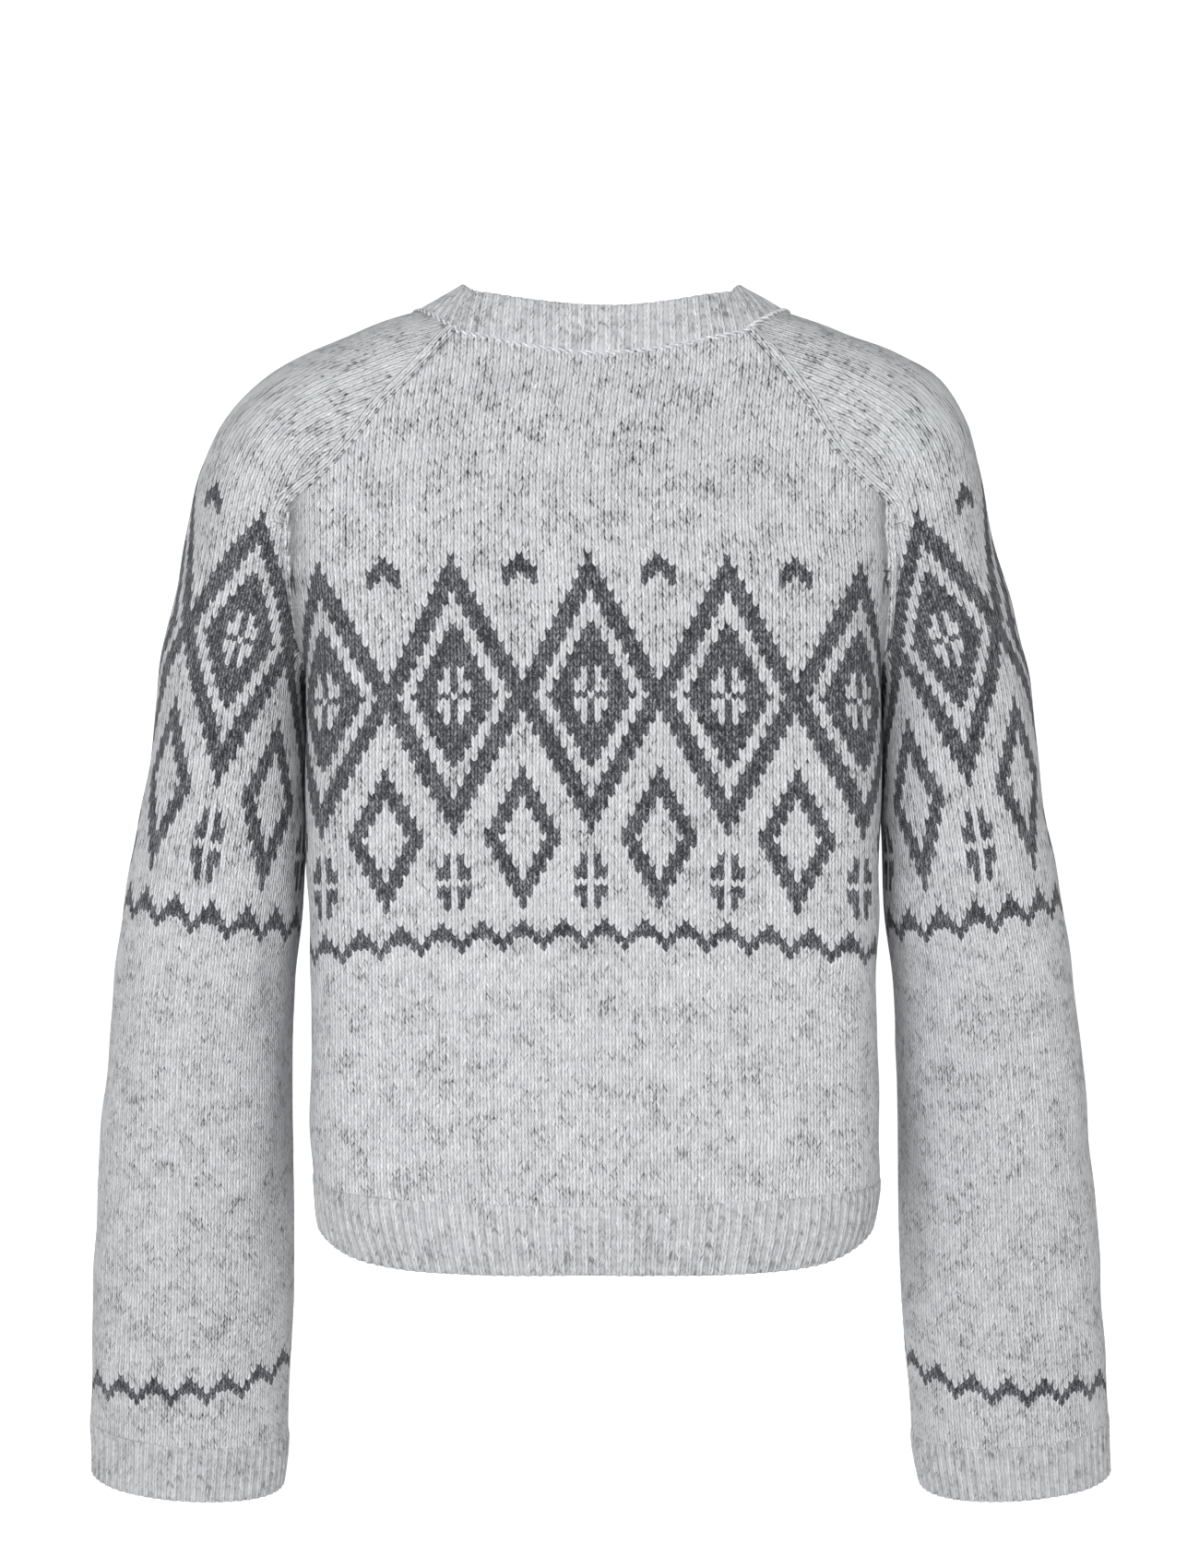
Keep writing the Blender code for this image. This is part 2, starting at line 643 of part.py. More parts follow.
# ---------------------------------------------------------------- build
for ob in list(bpy.data.objects):
    bpy.data.objects.remove(ob)
collection = bpy.data.collections.new("raglan_cardigan")
bpy.context.scene.collection.children.link(collection)
grey = paint("knit_grey", (0.56, 0.57, 0.59))
grey_rib = paint("knit_rib", (0.51, 0.52, 0.54))
horn = paint("button_horn", (0.12, 0.12, 0.13), 0.35)

half_gap = seam_gap * 0.5


def drawn_in(outer, inner):
    return (pulled(g, half_gap, half_gap, half_gap, 0.0) for g in (outer, inner))


back = back_grid(10, 9, 18)
back_n = cloth_normals(back, body_field)
outer, inner = drawn_in(*walls(back, back_n))
shell("back", outer, inner, grey)

front = front_grid(10, 9, 9)
front[:, -1, 0] = band_half
front_n = squared(cloth_normals(front, body_field), -1)
outer, inner = drawn_in(*walls(front, front_n))
shell("front_left", sink(outer, front_n), sink(inner, front_n), grey)
shell("front_right", mirrored(outer), mirrored(inner), grey)

sleeve = sleeve_grid(9, 16, 16)
sleeve_n = cloth_normals(sleeve, sleeve_field)
outer, inner = drawn_in(*walls(sleeve, sleeve_n))
shell("sleeve_left", outer, inner, grey)
shell("sleeve_right", mirrored(outer), mirrored(inner), grey)

# hem ribs, with a gap to the body above and to each other at the sides
hem, hem_n = hem_grid(back[0], back_n[0])
hem = pulled(hem, half_gap, half_gap, 0.0, half_gap)
rib_shell("rib_hem_back", hem, hem_n, grey_rib)

hem, hem_n = hem_grid(front[0], front_n[0])
hem_n = squared(hem_n, -1)
hem = pulled(hem, half_gap, half_gap, 0.0, half_gap)
rib_shell("rib_hem_left", sink(hem, hem_n), hem_n, grey_rib)
rib_shell("rib_hem_right", mirrored(hem), mirrored(hem_n), grey_rib)

# neckband, one strip from the left front edge round the back to the right front edge
half_back = back[-1][: back.shape[1] // 2 + 1]
half_back_n = back_n[-1][: back.shape[1] // 2 + 1]
edge = np.concatenate([front[-1][::-1], sleeve[-1][1:], half_back[1:]])
edge_n = np.concatenate([front_n[-1][::-1], sleeve_n[-1][1:], half_back_n[1:]])
neck, neck_n = neck_grid(edge, edge_n)
neck[:, 0, 0] = band_half
neck_n = squared(neck_n, 0)
neck_n[:, -1, 0] = 0.0
neck_n /= np.linalg.norm(neck_n, axis=-1)[..., None]
neck_left = sink(pulled(neck, half_gap, 0.0, 0.0, 0.0), neck_n)
neck_right = mirrored(pulled(neck, half_gap, 0.0, 0.0, 0.0))
rib_shell("neckband", np.concatenate([neck_left, neck_right[:, 1:]], axis=1),
          np.concatenate([neck_n, mirrored(neck_n)[:, 1:]], axis=1), grey_rib)

# cuffs
cuff, cuff_n = cuff_grid(sleeve[0], sleeve_n[0])
cuff = pulled(cuff, 0.0, 0.0, 0.0, half_gap)
rib_shell("cuff_left", cuff, cuff_n, grey_rib, True)
rib_shell("cuff_right", mirrored(cuff), mirrored(cuff_n), grey_rib, True)

# button bands: the front edge's own line, carried straight across the middle
line = np.concatenate([hem[:-1, -1], front[:, -1], neck[1:, 0]])
line_n = np.concatenate([hem_n[:-1, -1], front_n[:, -1], neck_n[1:, 0]])
line_n[:, 0] = 0.0
line_n /= np.linalg.norm(line_n, axis=1)[:, None]
keep = np.concatenate([[True], np.linalg.norm(np.diff(line, axis=0), axis=1) > 2.0])
line, line_n = line[keep], line_n[keep]
xs = np.linspace(-band_half + half_gap, band_half - half_gap, 2 * band_ribs + 1)
band = np.repeat(line[:, None, :], len(xs), axis=1)
band[:, :, 0] = xs[None, :]
band_n = np.repeat(line_n[:, None, :], len(xs), axis=1)
rib_shell("band_buttonholes", band, band_n, grey_rib)
rib_shell("band_buttons", band - band_n * band_step, band_n, grey_rib)


def button(name, level):
    """A turned button with a raised rim, seated just clear of the upper band."""
    k = np.argsort(line[:, 2])
    y = float(np.interp(level, line[k, 2], line[k, 1]))
    n = np.array([0.0, np.interp(level, line[k, 2], line_n[k, 1]),
                  np.interp(level, line[k, 2], line_n[k, 2])])
    n /= np.linalg.norm(n)
    up = np.cross(n, np.array([1.0, 0.0, 0.0]))
    seat = np.array([0.0, y, level]) + n * (rib_rise + 0.4)
    profile = [(7.2, 0.0), (9.1, 0.7), (button_radius, 1.6), (9.0, 2.6), (8.0, 2.9),
               (6.9, 2.3)]
    count = 16
    verts = [seat]
    for r, h in profile:
        for j in range(count):
            t = 2.0 * math.pi * j / count
            verts.append(seat + n * h + (np.array([1.0, 0.0, 0.0]) * math.cos(t)
                                         + up * math.sin(t)) * r)
    verts.append(seat + n * 2.0)
    faces = []
    for j in range(count):
        k = (j + 1) % count
        faces.append((0, 1 + k, 1 + j))
        for i in range(len(profile) - 1):
            a, b = 1 + i * count + j, 1 + i * count + k
            faces.append((a, b, b + count))
            faces.append((a, b + count, a + count))
        a = 1 + (len(profile) - 1) * count
        faces.append((a + j, a + k, len(verts) - 1))
    points = lean(np.array(verts)) * 0.001
    solid(name, [tuple(v) for v in points], faces, horn)


for number, level in enumerate(button_levels, 1):
    button("button_%d" % number, level)

print("triangles in all", sum(len(ob.data.polygons) for ob in collection.objects))
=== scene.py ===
import json
import math

import bpy
import numpy as np
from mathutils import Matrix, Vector

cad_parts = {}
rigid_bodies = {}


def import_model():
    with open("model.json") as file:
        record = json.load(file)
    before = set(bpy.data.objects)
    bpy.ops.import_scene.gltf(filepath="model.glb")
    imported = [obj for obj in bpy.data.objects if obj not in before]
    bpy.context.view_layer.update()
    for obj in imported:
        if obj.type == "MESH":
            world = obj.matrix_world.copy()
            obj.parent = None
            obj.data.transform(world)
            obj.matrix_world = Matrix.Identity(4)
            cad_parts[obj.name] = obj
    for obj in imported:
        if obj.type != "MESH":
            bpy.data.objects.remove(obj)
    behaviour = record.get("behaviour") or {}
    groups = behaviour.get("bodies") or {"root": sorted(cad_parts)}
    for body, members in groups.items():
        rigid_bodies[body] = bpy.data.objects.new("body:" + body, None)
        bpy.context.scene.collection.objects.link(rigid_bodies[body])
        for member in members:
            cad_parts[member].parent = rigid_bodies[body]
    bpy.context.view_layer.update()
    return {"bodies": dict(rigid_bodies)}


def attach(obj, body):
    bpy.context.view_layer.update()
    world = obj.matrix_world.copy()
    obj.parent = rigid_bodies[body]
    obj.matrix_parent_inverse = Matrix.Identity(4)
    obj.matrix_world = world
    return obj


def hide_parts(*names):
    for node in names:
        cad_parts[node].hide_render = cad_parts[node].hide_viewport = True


# Brushed wool cardigan in two greys, filled out and buttoned up. Lengths in the tables are mm.
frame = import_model()
bodyName = list(frame["bodies"])[0]
print("frame loaded, riding on", bodyName)

cut = {
    "wall": 2.4,          # thickness of the knitting
    "underarmZ": -228.0,
    "ribTopMid": -508.4,  # top of the hem rib at the middle of the back
    "hemMid": -546.9,
    "cuffTop": -652.0,
    "cuffEnd": -685.0,
    "bandHalf": 16.0,
    "bandStep": 3.9,      # how far the under band lies inside the upper one
    "neckBackZ": -46.0,
    "neckFrontZ": -97.0,
    "capPower": 1.4,      # how the rows crowd towards the underarm
    "mergeSize": 42.0,    # how broadly sleeve and body run into each other at the shoulder
    "mergeRise": 90.0,    # height over which that grows, from just above the underarm
    "sleeveRoundness": 2.15,
    "sleeveEnd": 50.0,    # how far the sleeve's form rounds off past its upper end
}
wall = cut["wall"]
underarmZ = cut["underarmZ"]

# body: height, half width, depth to the back, depth to the front, roundness (2 = ellipse)
bodyTable = np.array([
    [-560, 145, 96, 100, 3],
    [-547, 148.5, 98.5, 103, 3],
    [-528, 154.5, 102, 107, 3.1],
    [-509, 157.5, 104.5, 110, 3.1],
    [-480, 158.5, 105, 111.5, 3.2],
    [-400, 158.5, 103, 112, 3.2],
    [-320, 160, 101.5, 115, 3.2],
    [-260, 161, 102, 116.5, 3.1],
    [-228, 161, 102.5, 116, 3],
    [-185, 162.5, 101, 110, 2.9],
    [-150, 162, 97.5, 101, 2.8],
    [-125, 156, 93, 93, 2.7],
    [-98, 140, 85.5, 81, 2.5],
    [-72, 116, 75, 67, 2.35],
    [-46, 92, 60, 52, 2.2],
    [-30, 79, 48, 42, 2.1],
    [-10, 62, 30, 26, 2],
])
# sleeve: axis x, y, z, then half width across the arm and half depth front to back
sleeveTable = np.array([
    [66, 0, -52, 42.5, 54],
    [95, 0, -59, 43.5, 60],
    [123, 0, -70, 43.8, 66],
    [148, 0, -82, 45.5, 69],
    [159.5, 0, -89.5, 46, 70],
    [169, 0, -100.5, 45.5, 70.5],
    [176, 0, -116, 44, 70.5],
    [182, 0, -140.5, 43, 69.5],
    [190.6, -0.3, -179, 42.7, 65],
    [196, -0.6, -195, 42, 62.5],
    [200, -0.9, -209, 41.5, 60.3],
    [202.9, -1.5, -223, 41.6, 58.5],
    [204.2, -2, -237, 42, 57.5],
    [205.7, -3, -258, 43.5, 56],
    [209.4, -5, -308, 46.8, 54.5],
    [214.4, -8, -350, 50, 52.5],
    [219.3, -12, -385, 50.4, 51.5],
    [222.4, -18, -413, 51.5, 50.5],
    [226.7, -29, -466.5, 54, 49],
    [229.8, -39.5, -520.4, 56.5, 47],
    [232.7, -49.5, -574.8, 57.5, 45],
    [236.8, -60, -629.7, 57.1, 43.5],
    [239.3, -66.5, -662.8, 57.2, 42],
    [241.5, -71.5, -689, 55.6, 41],
    [243.5, -76, -715, 55, 40.5],
])
# raglan seams: height and direction from the body's axis, at the back and at the front
seamBack = np.array([
    [-32.3, 32], [-49, 31.2], [-71, 30.3], [-89, 28.3], [-115.7, 24],
    [-133, 22.4], [-157, 20], [-180, 17.8], [-205, 13], [-228, 0],
])
seamFront = np.array([
    [-54, 33], [-75, 31], [-100, 27.5], [-125, 23.5], [-150, 20],
    [-180, 17], [-205, 13], [-228, 0],
])
# the whole garment leans a little: height and sideways shift
leanTable = np.array([
    [-700, -4], [-600, -2.2], [-500, -0.8], [-350, 0.4], [-200, 0.6],
    [-110, 2], [-80, 0], [-50, -3.5], [-20, -4], [10, -4],
])
# hem: share of the depth at a point and how far the edge is lifted there
liftTable = np.array([
    [0, 20], [0.2, 19], [0.38, 16], [0.5, 12.5], [0.6, 9], [0.72, 5],
    [0.82, 2.5], [0.92, 0.6], [1, 0],
])
# neckband: direction round the neck (0 side, 90 back, -90 front), inward and up
collarTable = np.array([
    [-90, 9, 25.5], [-62, 12, 24], [-36, 18, 19.5], [-15, 24.5, 13],
    [0, 26, 10.5], [16, 23, 16], [31, 15.5, 23.5], [60, 8, 27],
    [90, 4.5, 27.3],
])


def lengthOf(v):
    return np.linalg.norm(v, axis=-1)


def smooth(xs, ys, x):  # a curve through a table's points
    slope = np.gradient(ys, xs)
    x = np.clip(x, xs[0], xs[-1])
    k = np.clip(np.searchsorted(xs, x) - 1, 0, len(xs) - 2)
    h = xs[k + 1] - xs[k]
    t = (x - xs[k]) / h
    a = (1.0 + 2.0 * t) * (1.0 - t) ** 2
    b = t * (1.0 - t) ** 2
    c = t * t * (3.0 - 2.0 * t)
    d = t * t * (t - 1.0)
    return a * ys[k] + b * h * slope[k] + c * ys[k + 1] + d * h * slope[k + 1]


def column(table, n, x):
    order = np.argsort(table[:, 0])
    return smooth(table[order, 0], table[order, n], x)


def bodyField(p):  # roughly the distance outside the body's form, below zero inside it
    z = p[..., 2]
    a = column(bodyTable, 1, z)
    n = column(bodyTable, 4, z)
    b = np.where(p[..., 1] > 0.0, column(bodyTable, 2, z), column(bodyTable, 3, z))
    x = np.abs(p[..., 0]) + 1e-6
    y = np.abs(p[..., 1]) + 1e-6
    r = ((x / a) ** n + (y / b) ** n) ** (1.0 / n)
    return np.hypot(x, y) * (1.0 - 1.0 / np.maximum(r, 1e-3))


def sleeveAxis():
    c = sleeveTable[:, :3]
    s = np.concatenate([[0.0], np.cumsum(lengthOf(np.diff(c, axis=0)))])
    t = np.linspace(0.0, s[-1], 260)
    rows = np.stack([smooth(s, sleeveTable[:, k], t) for k in range(5)], axis=1)
    tangent = np.gradient(rows[:, :3], t, axis=0)
    tangent /= lengthOf(tangent)[:, None]
    side = np.cross(np.array([0.0, 1.0, 0.0]), tangent)
    side /= lengthOf(side)[:, None]
    side *= np.sign(side[:, :1] + side[:, 2:] - 1e-9)
    back = np.cross(tangent, side)
    return rows, tangent, side, back


axisRows, axisTangent, axisSide, axisBack = sleeveAxis()


def sleeveField(p):
    q = np.stack([np.abs(p[..., 0]), p[..., 1], p[..., 2]], axis=-1)
    flat = q.reshape(-1, 3)
    c = axisRows[:, :3]
    d2 = (flat ** 2).sum(1)[:, None] + (c ** 2).sum(1)[None, :] - 2.0 * flat @ c.T
    k = d2.argmin(axis=1)
    d = flat - c[k]
    along = (d * axisTangent[k]).sum(1)
    step = np.linalg.norm(c[1] - c[0])
    f = np.clip(k + along / step, 0, len(c) - 1.001)
    k0 = f.astype(int)
    w = (f - k0)[:, None]
    centre = c[k0] * (1 - w) + c[k0 + 1] * w
    side = axisSide[k0] * (1 - w) + axisSide[k0 + 1] * w
    back = axisBack[k0] * (1 - w) + axisBack[k0 + 1] * w
    half = axisRows[k0, 3:] * (1 - w) + axisRows[k0 + 1, 3:] * w
    d = flat - centre
    u = np.abs((d * side).sum(1)) + 1e-6
    v = np.abs((d * back).sum(1)) + 1e-6
    past = np.maximum(-(d * axisTangent[k0]).sum(1), 0.0) * (f <= 0.0)
    n = cut["sleeveRoundness"]
    r = ((u / half[:, 0]) ** n + (v / half[:, 1]) ** n + (past / cut["sleeveEnd"]) ** n) ** (1.0 / n)
    size = np.sqrt(u * u + v * v + past * past)
    return (size * (1.0 - 1.0 / np.maximum(r, 1e-3))).reshape(q.shape[:-1])


def joinedField(p):  # body and sleeve run into each other
    a = bodyField(p)
    b = sleeveField(p)
    z = p[..., 2]
    k = mergeSize(z)
    h = np.maximum(k - np.abs(a - b), 0.0) / k
    return np.minimum(a, b) - h * h * k * 0.25


def halved(low, high, steps, below):  # closes in on the place where below(mid) stops holding
    for _ in range(steps):
        mid = 0.5 * (low + high)
        yes = below(mid)
        low, high = np.where(yes, mid, low), np.where(yes, high, mid)
    return low, high


def cast(field, start, direction, near=4.0, far=130.0, steps=50):  # where a ray leaves a form
    tIn = np.full(start.shape[:-1], near)
    tOut = np.full(start.shape[:-1], far)
    found = np.zeros(start.shape[:-1], bool)
    for t in np.linspace(near, far, steps)[1:]:
        f = field(start + direction * t)
        hit = (~found) & (f > 0.0)
        tOut = np.where(hit, t, tOut)
        tIn = np.where(found | hit, tIn, t)
        found |= hit
    tIn, tOut = halved(tIn, tOut, 18, lambda mid: ~(field(start + direction * mid[..., None]) > 0.0))
    return start + direction * (0.5 * (tIn + tOut))[..., None]


def slopeOf(field, p, e=0.6):
    g = np.stack([
        field(p + np.array([e, 0, 0])) - field(p - np.array([e, 0, 0])),
        field(p + np.array([0, e, 0])) - field(p - np.array([0, e, 0])),
        field(p + np.array([0, 0, e])) - field(p - np.array([0, 0, e])),
    ], axis=-1)
    return g / lengthOf(g)[..., None]


def mergeSize(z):
    return cut["mergeSize"] * np.clip((z - underarmZ - 4.0) / cut["mergeRise"], 0.0, 1.0) + 0.01


def nearOwn(ownField, start, way):  # a form's own surface, moved out to where the two have merged
    plain = cast(ownField, start, way, 4.0, 245.0, 60)
    tIn = lengthOf(plain - start) - 0.3
    tOut = tIn + 0.6 + 0.6 * mergeSize(plain[..., 2])
    tIn, tOut = halved(tIn, tOut, 16, lambda mid: ~(joinedField(start + way * mid[..., None]) > 0.0))
    joined = start + way * tOut[..., None]
    return np.where((mergeSize(plain[..., 2]) > 0.02)[..., None], joined, plain)


def bodyPoints(z, angle):  # points of the body seen from its axis, by height and direction
    start = np.stack([0.0 * z, 0.0 * z, z], axis=-1)
    way = np.stack([np.cos(angle), np.sin(angle), 0.0 * z], axis=-1)
    return nearOwn(bodyField, start, way)


def angleForX(z, x, back):  # direction in which the body is this far to the side
    sign = 1.0 if back else -1.0
    lo, hi = halved(np.full(z.shape, 0.0), np.full(z.shape, math.pi / 2), 22,
                    lambda mid: bodyPoints(z, sign * mid)[..., 0] > x)
    return 0.5 * (lo + hi)


def lean(p):  # the garment's own lean, put on every piece
    q = p.copy()
    q[..., 0] += column(leanTable, 1, q[..., 2])
    return q


def mirrored(grid):
    g = grid.copy()
    g[..., 0] *= -1.0
    return g[:, ::-1]


def unit(v):
    return v / np.maximum(lengthOf(v), 1e-9)[..., None]


def gridNormals(g):
    return unit(np.cross(np.gradient(g, axis=1), np.gradient(g, axis=0)))


def softened(v):  # each inner value mixed with its neighbours
    return 0.25 * v[:-2] + 0.5 * v[1:-1] + 0.25 * v[2:]


def readAt(line, f):  # smooth reading of a line of points at fractional places
    n = len(line)
    f = np.clip(f, 0.0, n - 1.0 - 1e-9)
    k = f.astype(int)
    t = (f - k)[:, None]
    wide = np.concatenate([2 * line[:1] - line[1:2], line, 2 * line[-1:] - line[-2:-1]])
    p0, p1, p2, p3 = wide[k], wide[k + 1], wide[k + 2], wide[k + 3]
    return 0.5 * (2 * p1 + (p2 - p0) * t + (2 * p0 - 5 * p1 + 4 * p2 - p3) * t ** 2
                  + (3 * p1 - p0 - 3 * p2 + p3) * t ** 3)


def lengthAlong(line):
    steps = lengthOf(np.diff(line[:, :3], axis=0))
    return np.concatenate([[0.0], np.cumsum(steps)])


def onLine(line, shares):  # points at shares of a line's length
    d = lengthAlong(line)
    return readAt(line, np.interp(shares * d[-1], d, np.arange(len(line))))


def evenRows(rows, cols):  # every row cut into columns of one length
    return np.array([onLine(row, np.linspace(0.0, 1.0, cols + 1)) for row in rows])


def fade(t, low, high):
    t = np.clip((t - low) / (high - low), 0.0, 1.0)
    return t * t * (3.0 - 2.0 * t)


# ---- panels of the body, rows up and columns round
sideLow = cut["ribTopMid"] + 11.0  # the hem rises towards the sides


def bodyRows(midTop, sideTop, lowRows, highRows):
    below = np.linspace(sideLow, underarmZ, lowRows)
    rise = np.linspace(0.0, 1.0, highRows + 1)[1:] ** cut["capPower"]
    side = np.concatenate([below, underarmZ + (sideTop - underarmZ) * rise])
    share = (side - sideLow) / (sideTop - sideLow)
    return side, cut["ribTopMid"] + share * (midTop - cut["ribTopMid"])


def creaseAngle(z, back):  # direction of the crease between body and sleeve
    z = np.minimum(z, -150.0)
    start = np.stack([0.0 * z, 0.0 * z, z], axis=-1)

    def inside(mid):
        side = np.sin(mid) if back else -np.sin(mid)
        way = np.stack([np.cos(mid), side, 0.0 * z], axis=-1)
        return sleeveField(cast(bodyField, start, way, 60.0, 200.0, 30)) < 0.0
    lo, hi = halved(np.zeros_like(z), np.full_like(z, 0.9), 20, inside)
    return 0.5 * (lo + hi)


def edgeAngle(z, table, back):  # direction of a side seam or raglan seam
    drawn = np.radians(column(table, 1, np.maximum(z, underarmZ)))
    share = fade(z, -222.0, -167.0)
    a = drawn * share + creaseAngle(z, back) * (1.0 - share)
    return np.where(z > underarmZ + 0.01, a, 0.0)


def backGrid(lowRows, highRows, cols, dense=120):
    side, mid = bodyRows(cut["neckBackZ"], seamBack[0, 0], lowRows, highRows)
    start = edgeAngle(side, seamBack, True)[:, None]
    t = np.linspace(0.0, 1.0, dense)
    z = mid[:, None] + (side - mid)[:, None] * np.abs(2 * t - 1) ** 2.2
    rows = bodyPoints(z, start + (math.pi - 2 * start) * t)
    return evenRows(rows, cols)


def frontGrid(lowRows, highRows, cols, dense=80):  # the wearer's left front
    side, mid = bodyRows(cut["neckFrontZ"], seamFront[0, 0], lowRows, highRows)
    start = edgeAngle(side, seamFront, False)[:, None]
    stop = angleForX(mid, np.full_like(mid, cut["bandHalf"]), False)[:, None]
    t = np.linspace(0.0, 1.0, dense)
    z = mid[:, None] + (side - mid)[:, None] * (1 - t) ** 2.0
    rows = bodyPoints(z, -(start + (stop - start) * t))
    return evenRows(rows, cols)


def clothNormals(g, ownField):
    share = fade(g[..., 2:], -205.0, -155.0)
    return unit(slopeOf(joinedField, g) * share + slopeOf(ownField, g) * (1.0 - share))


# ---- sleeves, rows from the cuff up to the neck, columns from front to back over the outside
def readAxis(level):
    order = np.argsort(axisRows[:, 2])
    z = axisRows[order, 2]

    def read(values):
        return np.interp(level, z, values[order])
    centre = np.array([read(axisRows[:, 0]), read(axisRows[:, 1]), level])
    side = np.array([read(axisSide[:, k]) for k in range(3)])
    back = np.array([read(axisBack[:, k]) for k in range(3)])
    return centre, side, back * np.sign(back[1])


def sleeveGrid(capRows, armRows, cols, dense=96):
    rise = np.linspace(1.0, 0.0, capRows + 1) ** cut["capPower"]
    levelBack = underarmZ + (seamBack[0, 0] - underarmZ) * rise
    levelFront = underarmZ + (seamFront[0, 0] - underarmZ) * rise
    edgeB = bodyPoints(levelBack, edgeAngle(levelBack, seamBack, True))
    edgeF = bodyPoints(levelFront, -edgeAngle(levelFront, seamFront, False))
    share = 1.0 - rise
    tilt = np.radians(np.interp(share, [0.0, 0.2, 0.45, 0.75, 1.0], [52.0, 44.0, 27.0, 9.0, 0.0]))
    reach = np.interp(share, [0.0, 0.3, 0.6, 0.85, 1.0], [-6.0, 0.0, 10.0, 30.0, 41.0])
    for _ in range(3):
        tilt[1:-1] = softened(tilt)
        reach[1:-1] = softened(reach)
    y = np.array([0.0, 1.0, 0.0])
    starts, ways = [], []
    t = np.linspace(0.0, 1.0, dense)
    for k in range(capRows):
        m = np.array([math.cos(tilt[k]), 0.0, math.sin(tilt[k])])
        centre = 0.5 * (edgeB[k] + edgeF[k])
        centre[1] = 0.0
        centre = centre + m * reach[k]
        n = np.cross(m, y)
        db, df = edgeB[k] - centre, edgeF[k] - centre
        tb = math.atan2(db @ y, db @ m)
        tf = -math.atan2(df @ y, df @ m)
        wb = (db @ n) / math.hypot(db @ y, db @ m)
        wf = (df @ n) / math.hypot(df @ y, df @ m)
        angle = -tf + (tb + tf) * t
        w = wf * np.clip(1 - 2 * t, 0, 1) ** 1.5 + wb * np.clip(2 * t - 1, 0, 1) ** 1.5
        ways.append(np.cos(angle)[:, None] * m + np.sin(angle)[:, None] * y + w[:, None] * n)
        starts.append(np.repeat(centre[None, :], dense, axis=0))
    levels = np.linspace(underarmZ, cut["cuffTop"], armRows + 1)
    for level in levels:
        centre, side, back = readAxis(level)
        if level == underarmZ:
            centre, side, back = np.array([203.0, -2.0, level]), np.array([1.0, 0.0, 0.0]), y
        angle = (math.pi - 1e-3) * (2 * t - 1)
        ways.append(np.cos(angle)[:, None] * side + np.sin(angle)[:, None] * back)
        starts.append(np.repeat(centre[None, :], dense, axis=0))
    starts, ways = np.array(starts), unit(np.array(ways))
    cap = cast(joinedField, starts[:capRows], ways[:capRows])
    low = starts[:capRows, 0, 2] < -195.0
    if low.any():
        cap[low] = nearOwn(sleeveField, starts[:capRows][low], ways[:capRows][low])
    cap[:, 0], cap[:, -1] = edgeF[:capRows], edgeB[:capRows]
    arm = cast(sleeveField, starts[capRows:], ways[capRows:])
    rows = np.concatenate([cap, arm])
    return evenRows(rows, cols)[::-1]


# ---- turning grids into cloth
def drawnBack(g, left, right, low, high):  # edges moved back, square to each edge
    g = g.copy()

    def moved(edge, nearby, d):
        t = unit(np.gradient(edge, axis=0))
        v = nearby - edge
        v = v - (v * t).sum(-1)[..., None] * t
        return edge + d * unit(v)
    if left:
        g[:, 0] = moved(g[:, 0], g[:, 2], left)
    if right:
        g[:, -1] = moved(g[:, -1], g[:, -3], right)
    if low:
        g[0] = moved(g[0], g[2], low)
    if high:
        g[-1] = moved(g[-1], g[-3], high)
    return g


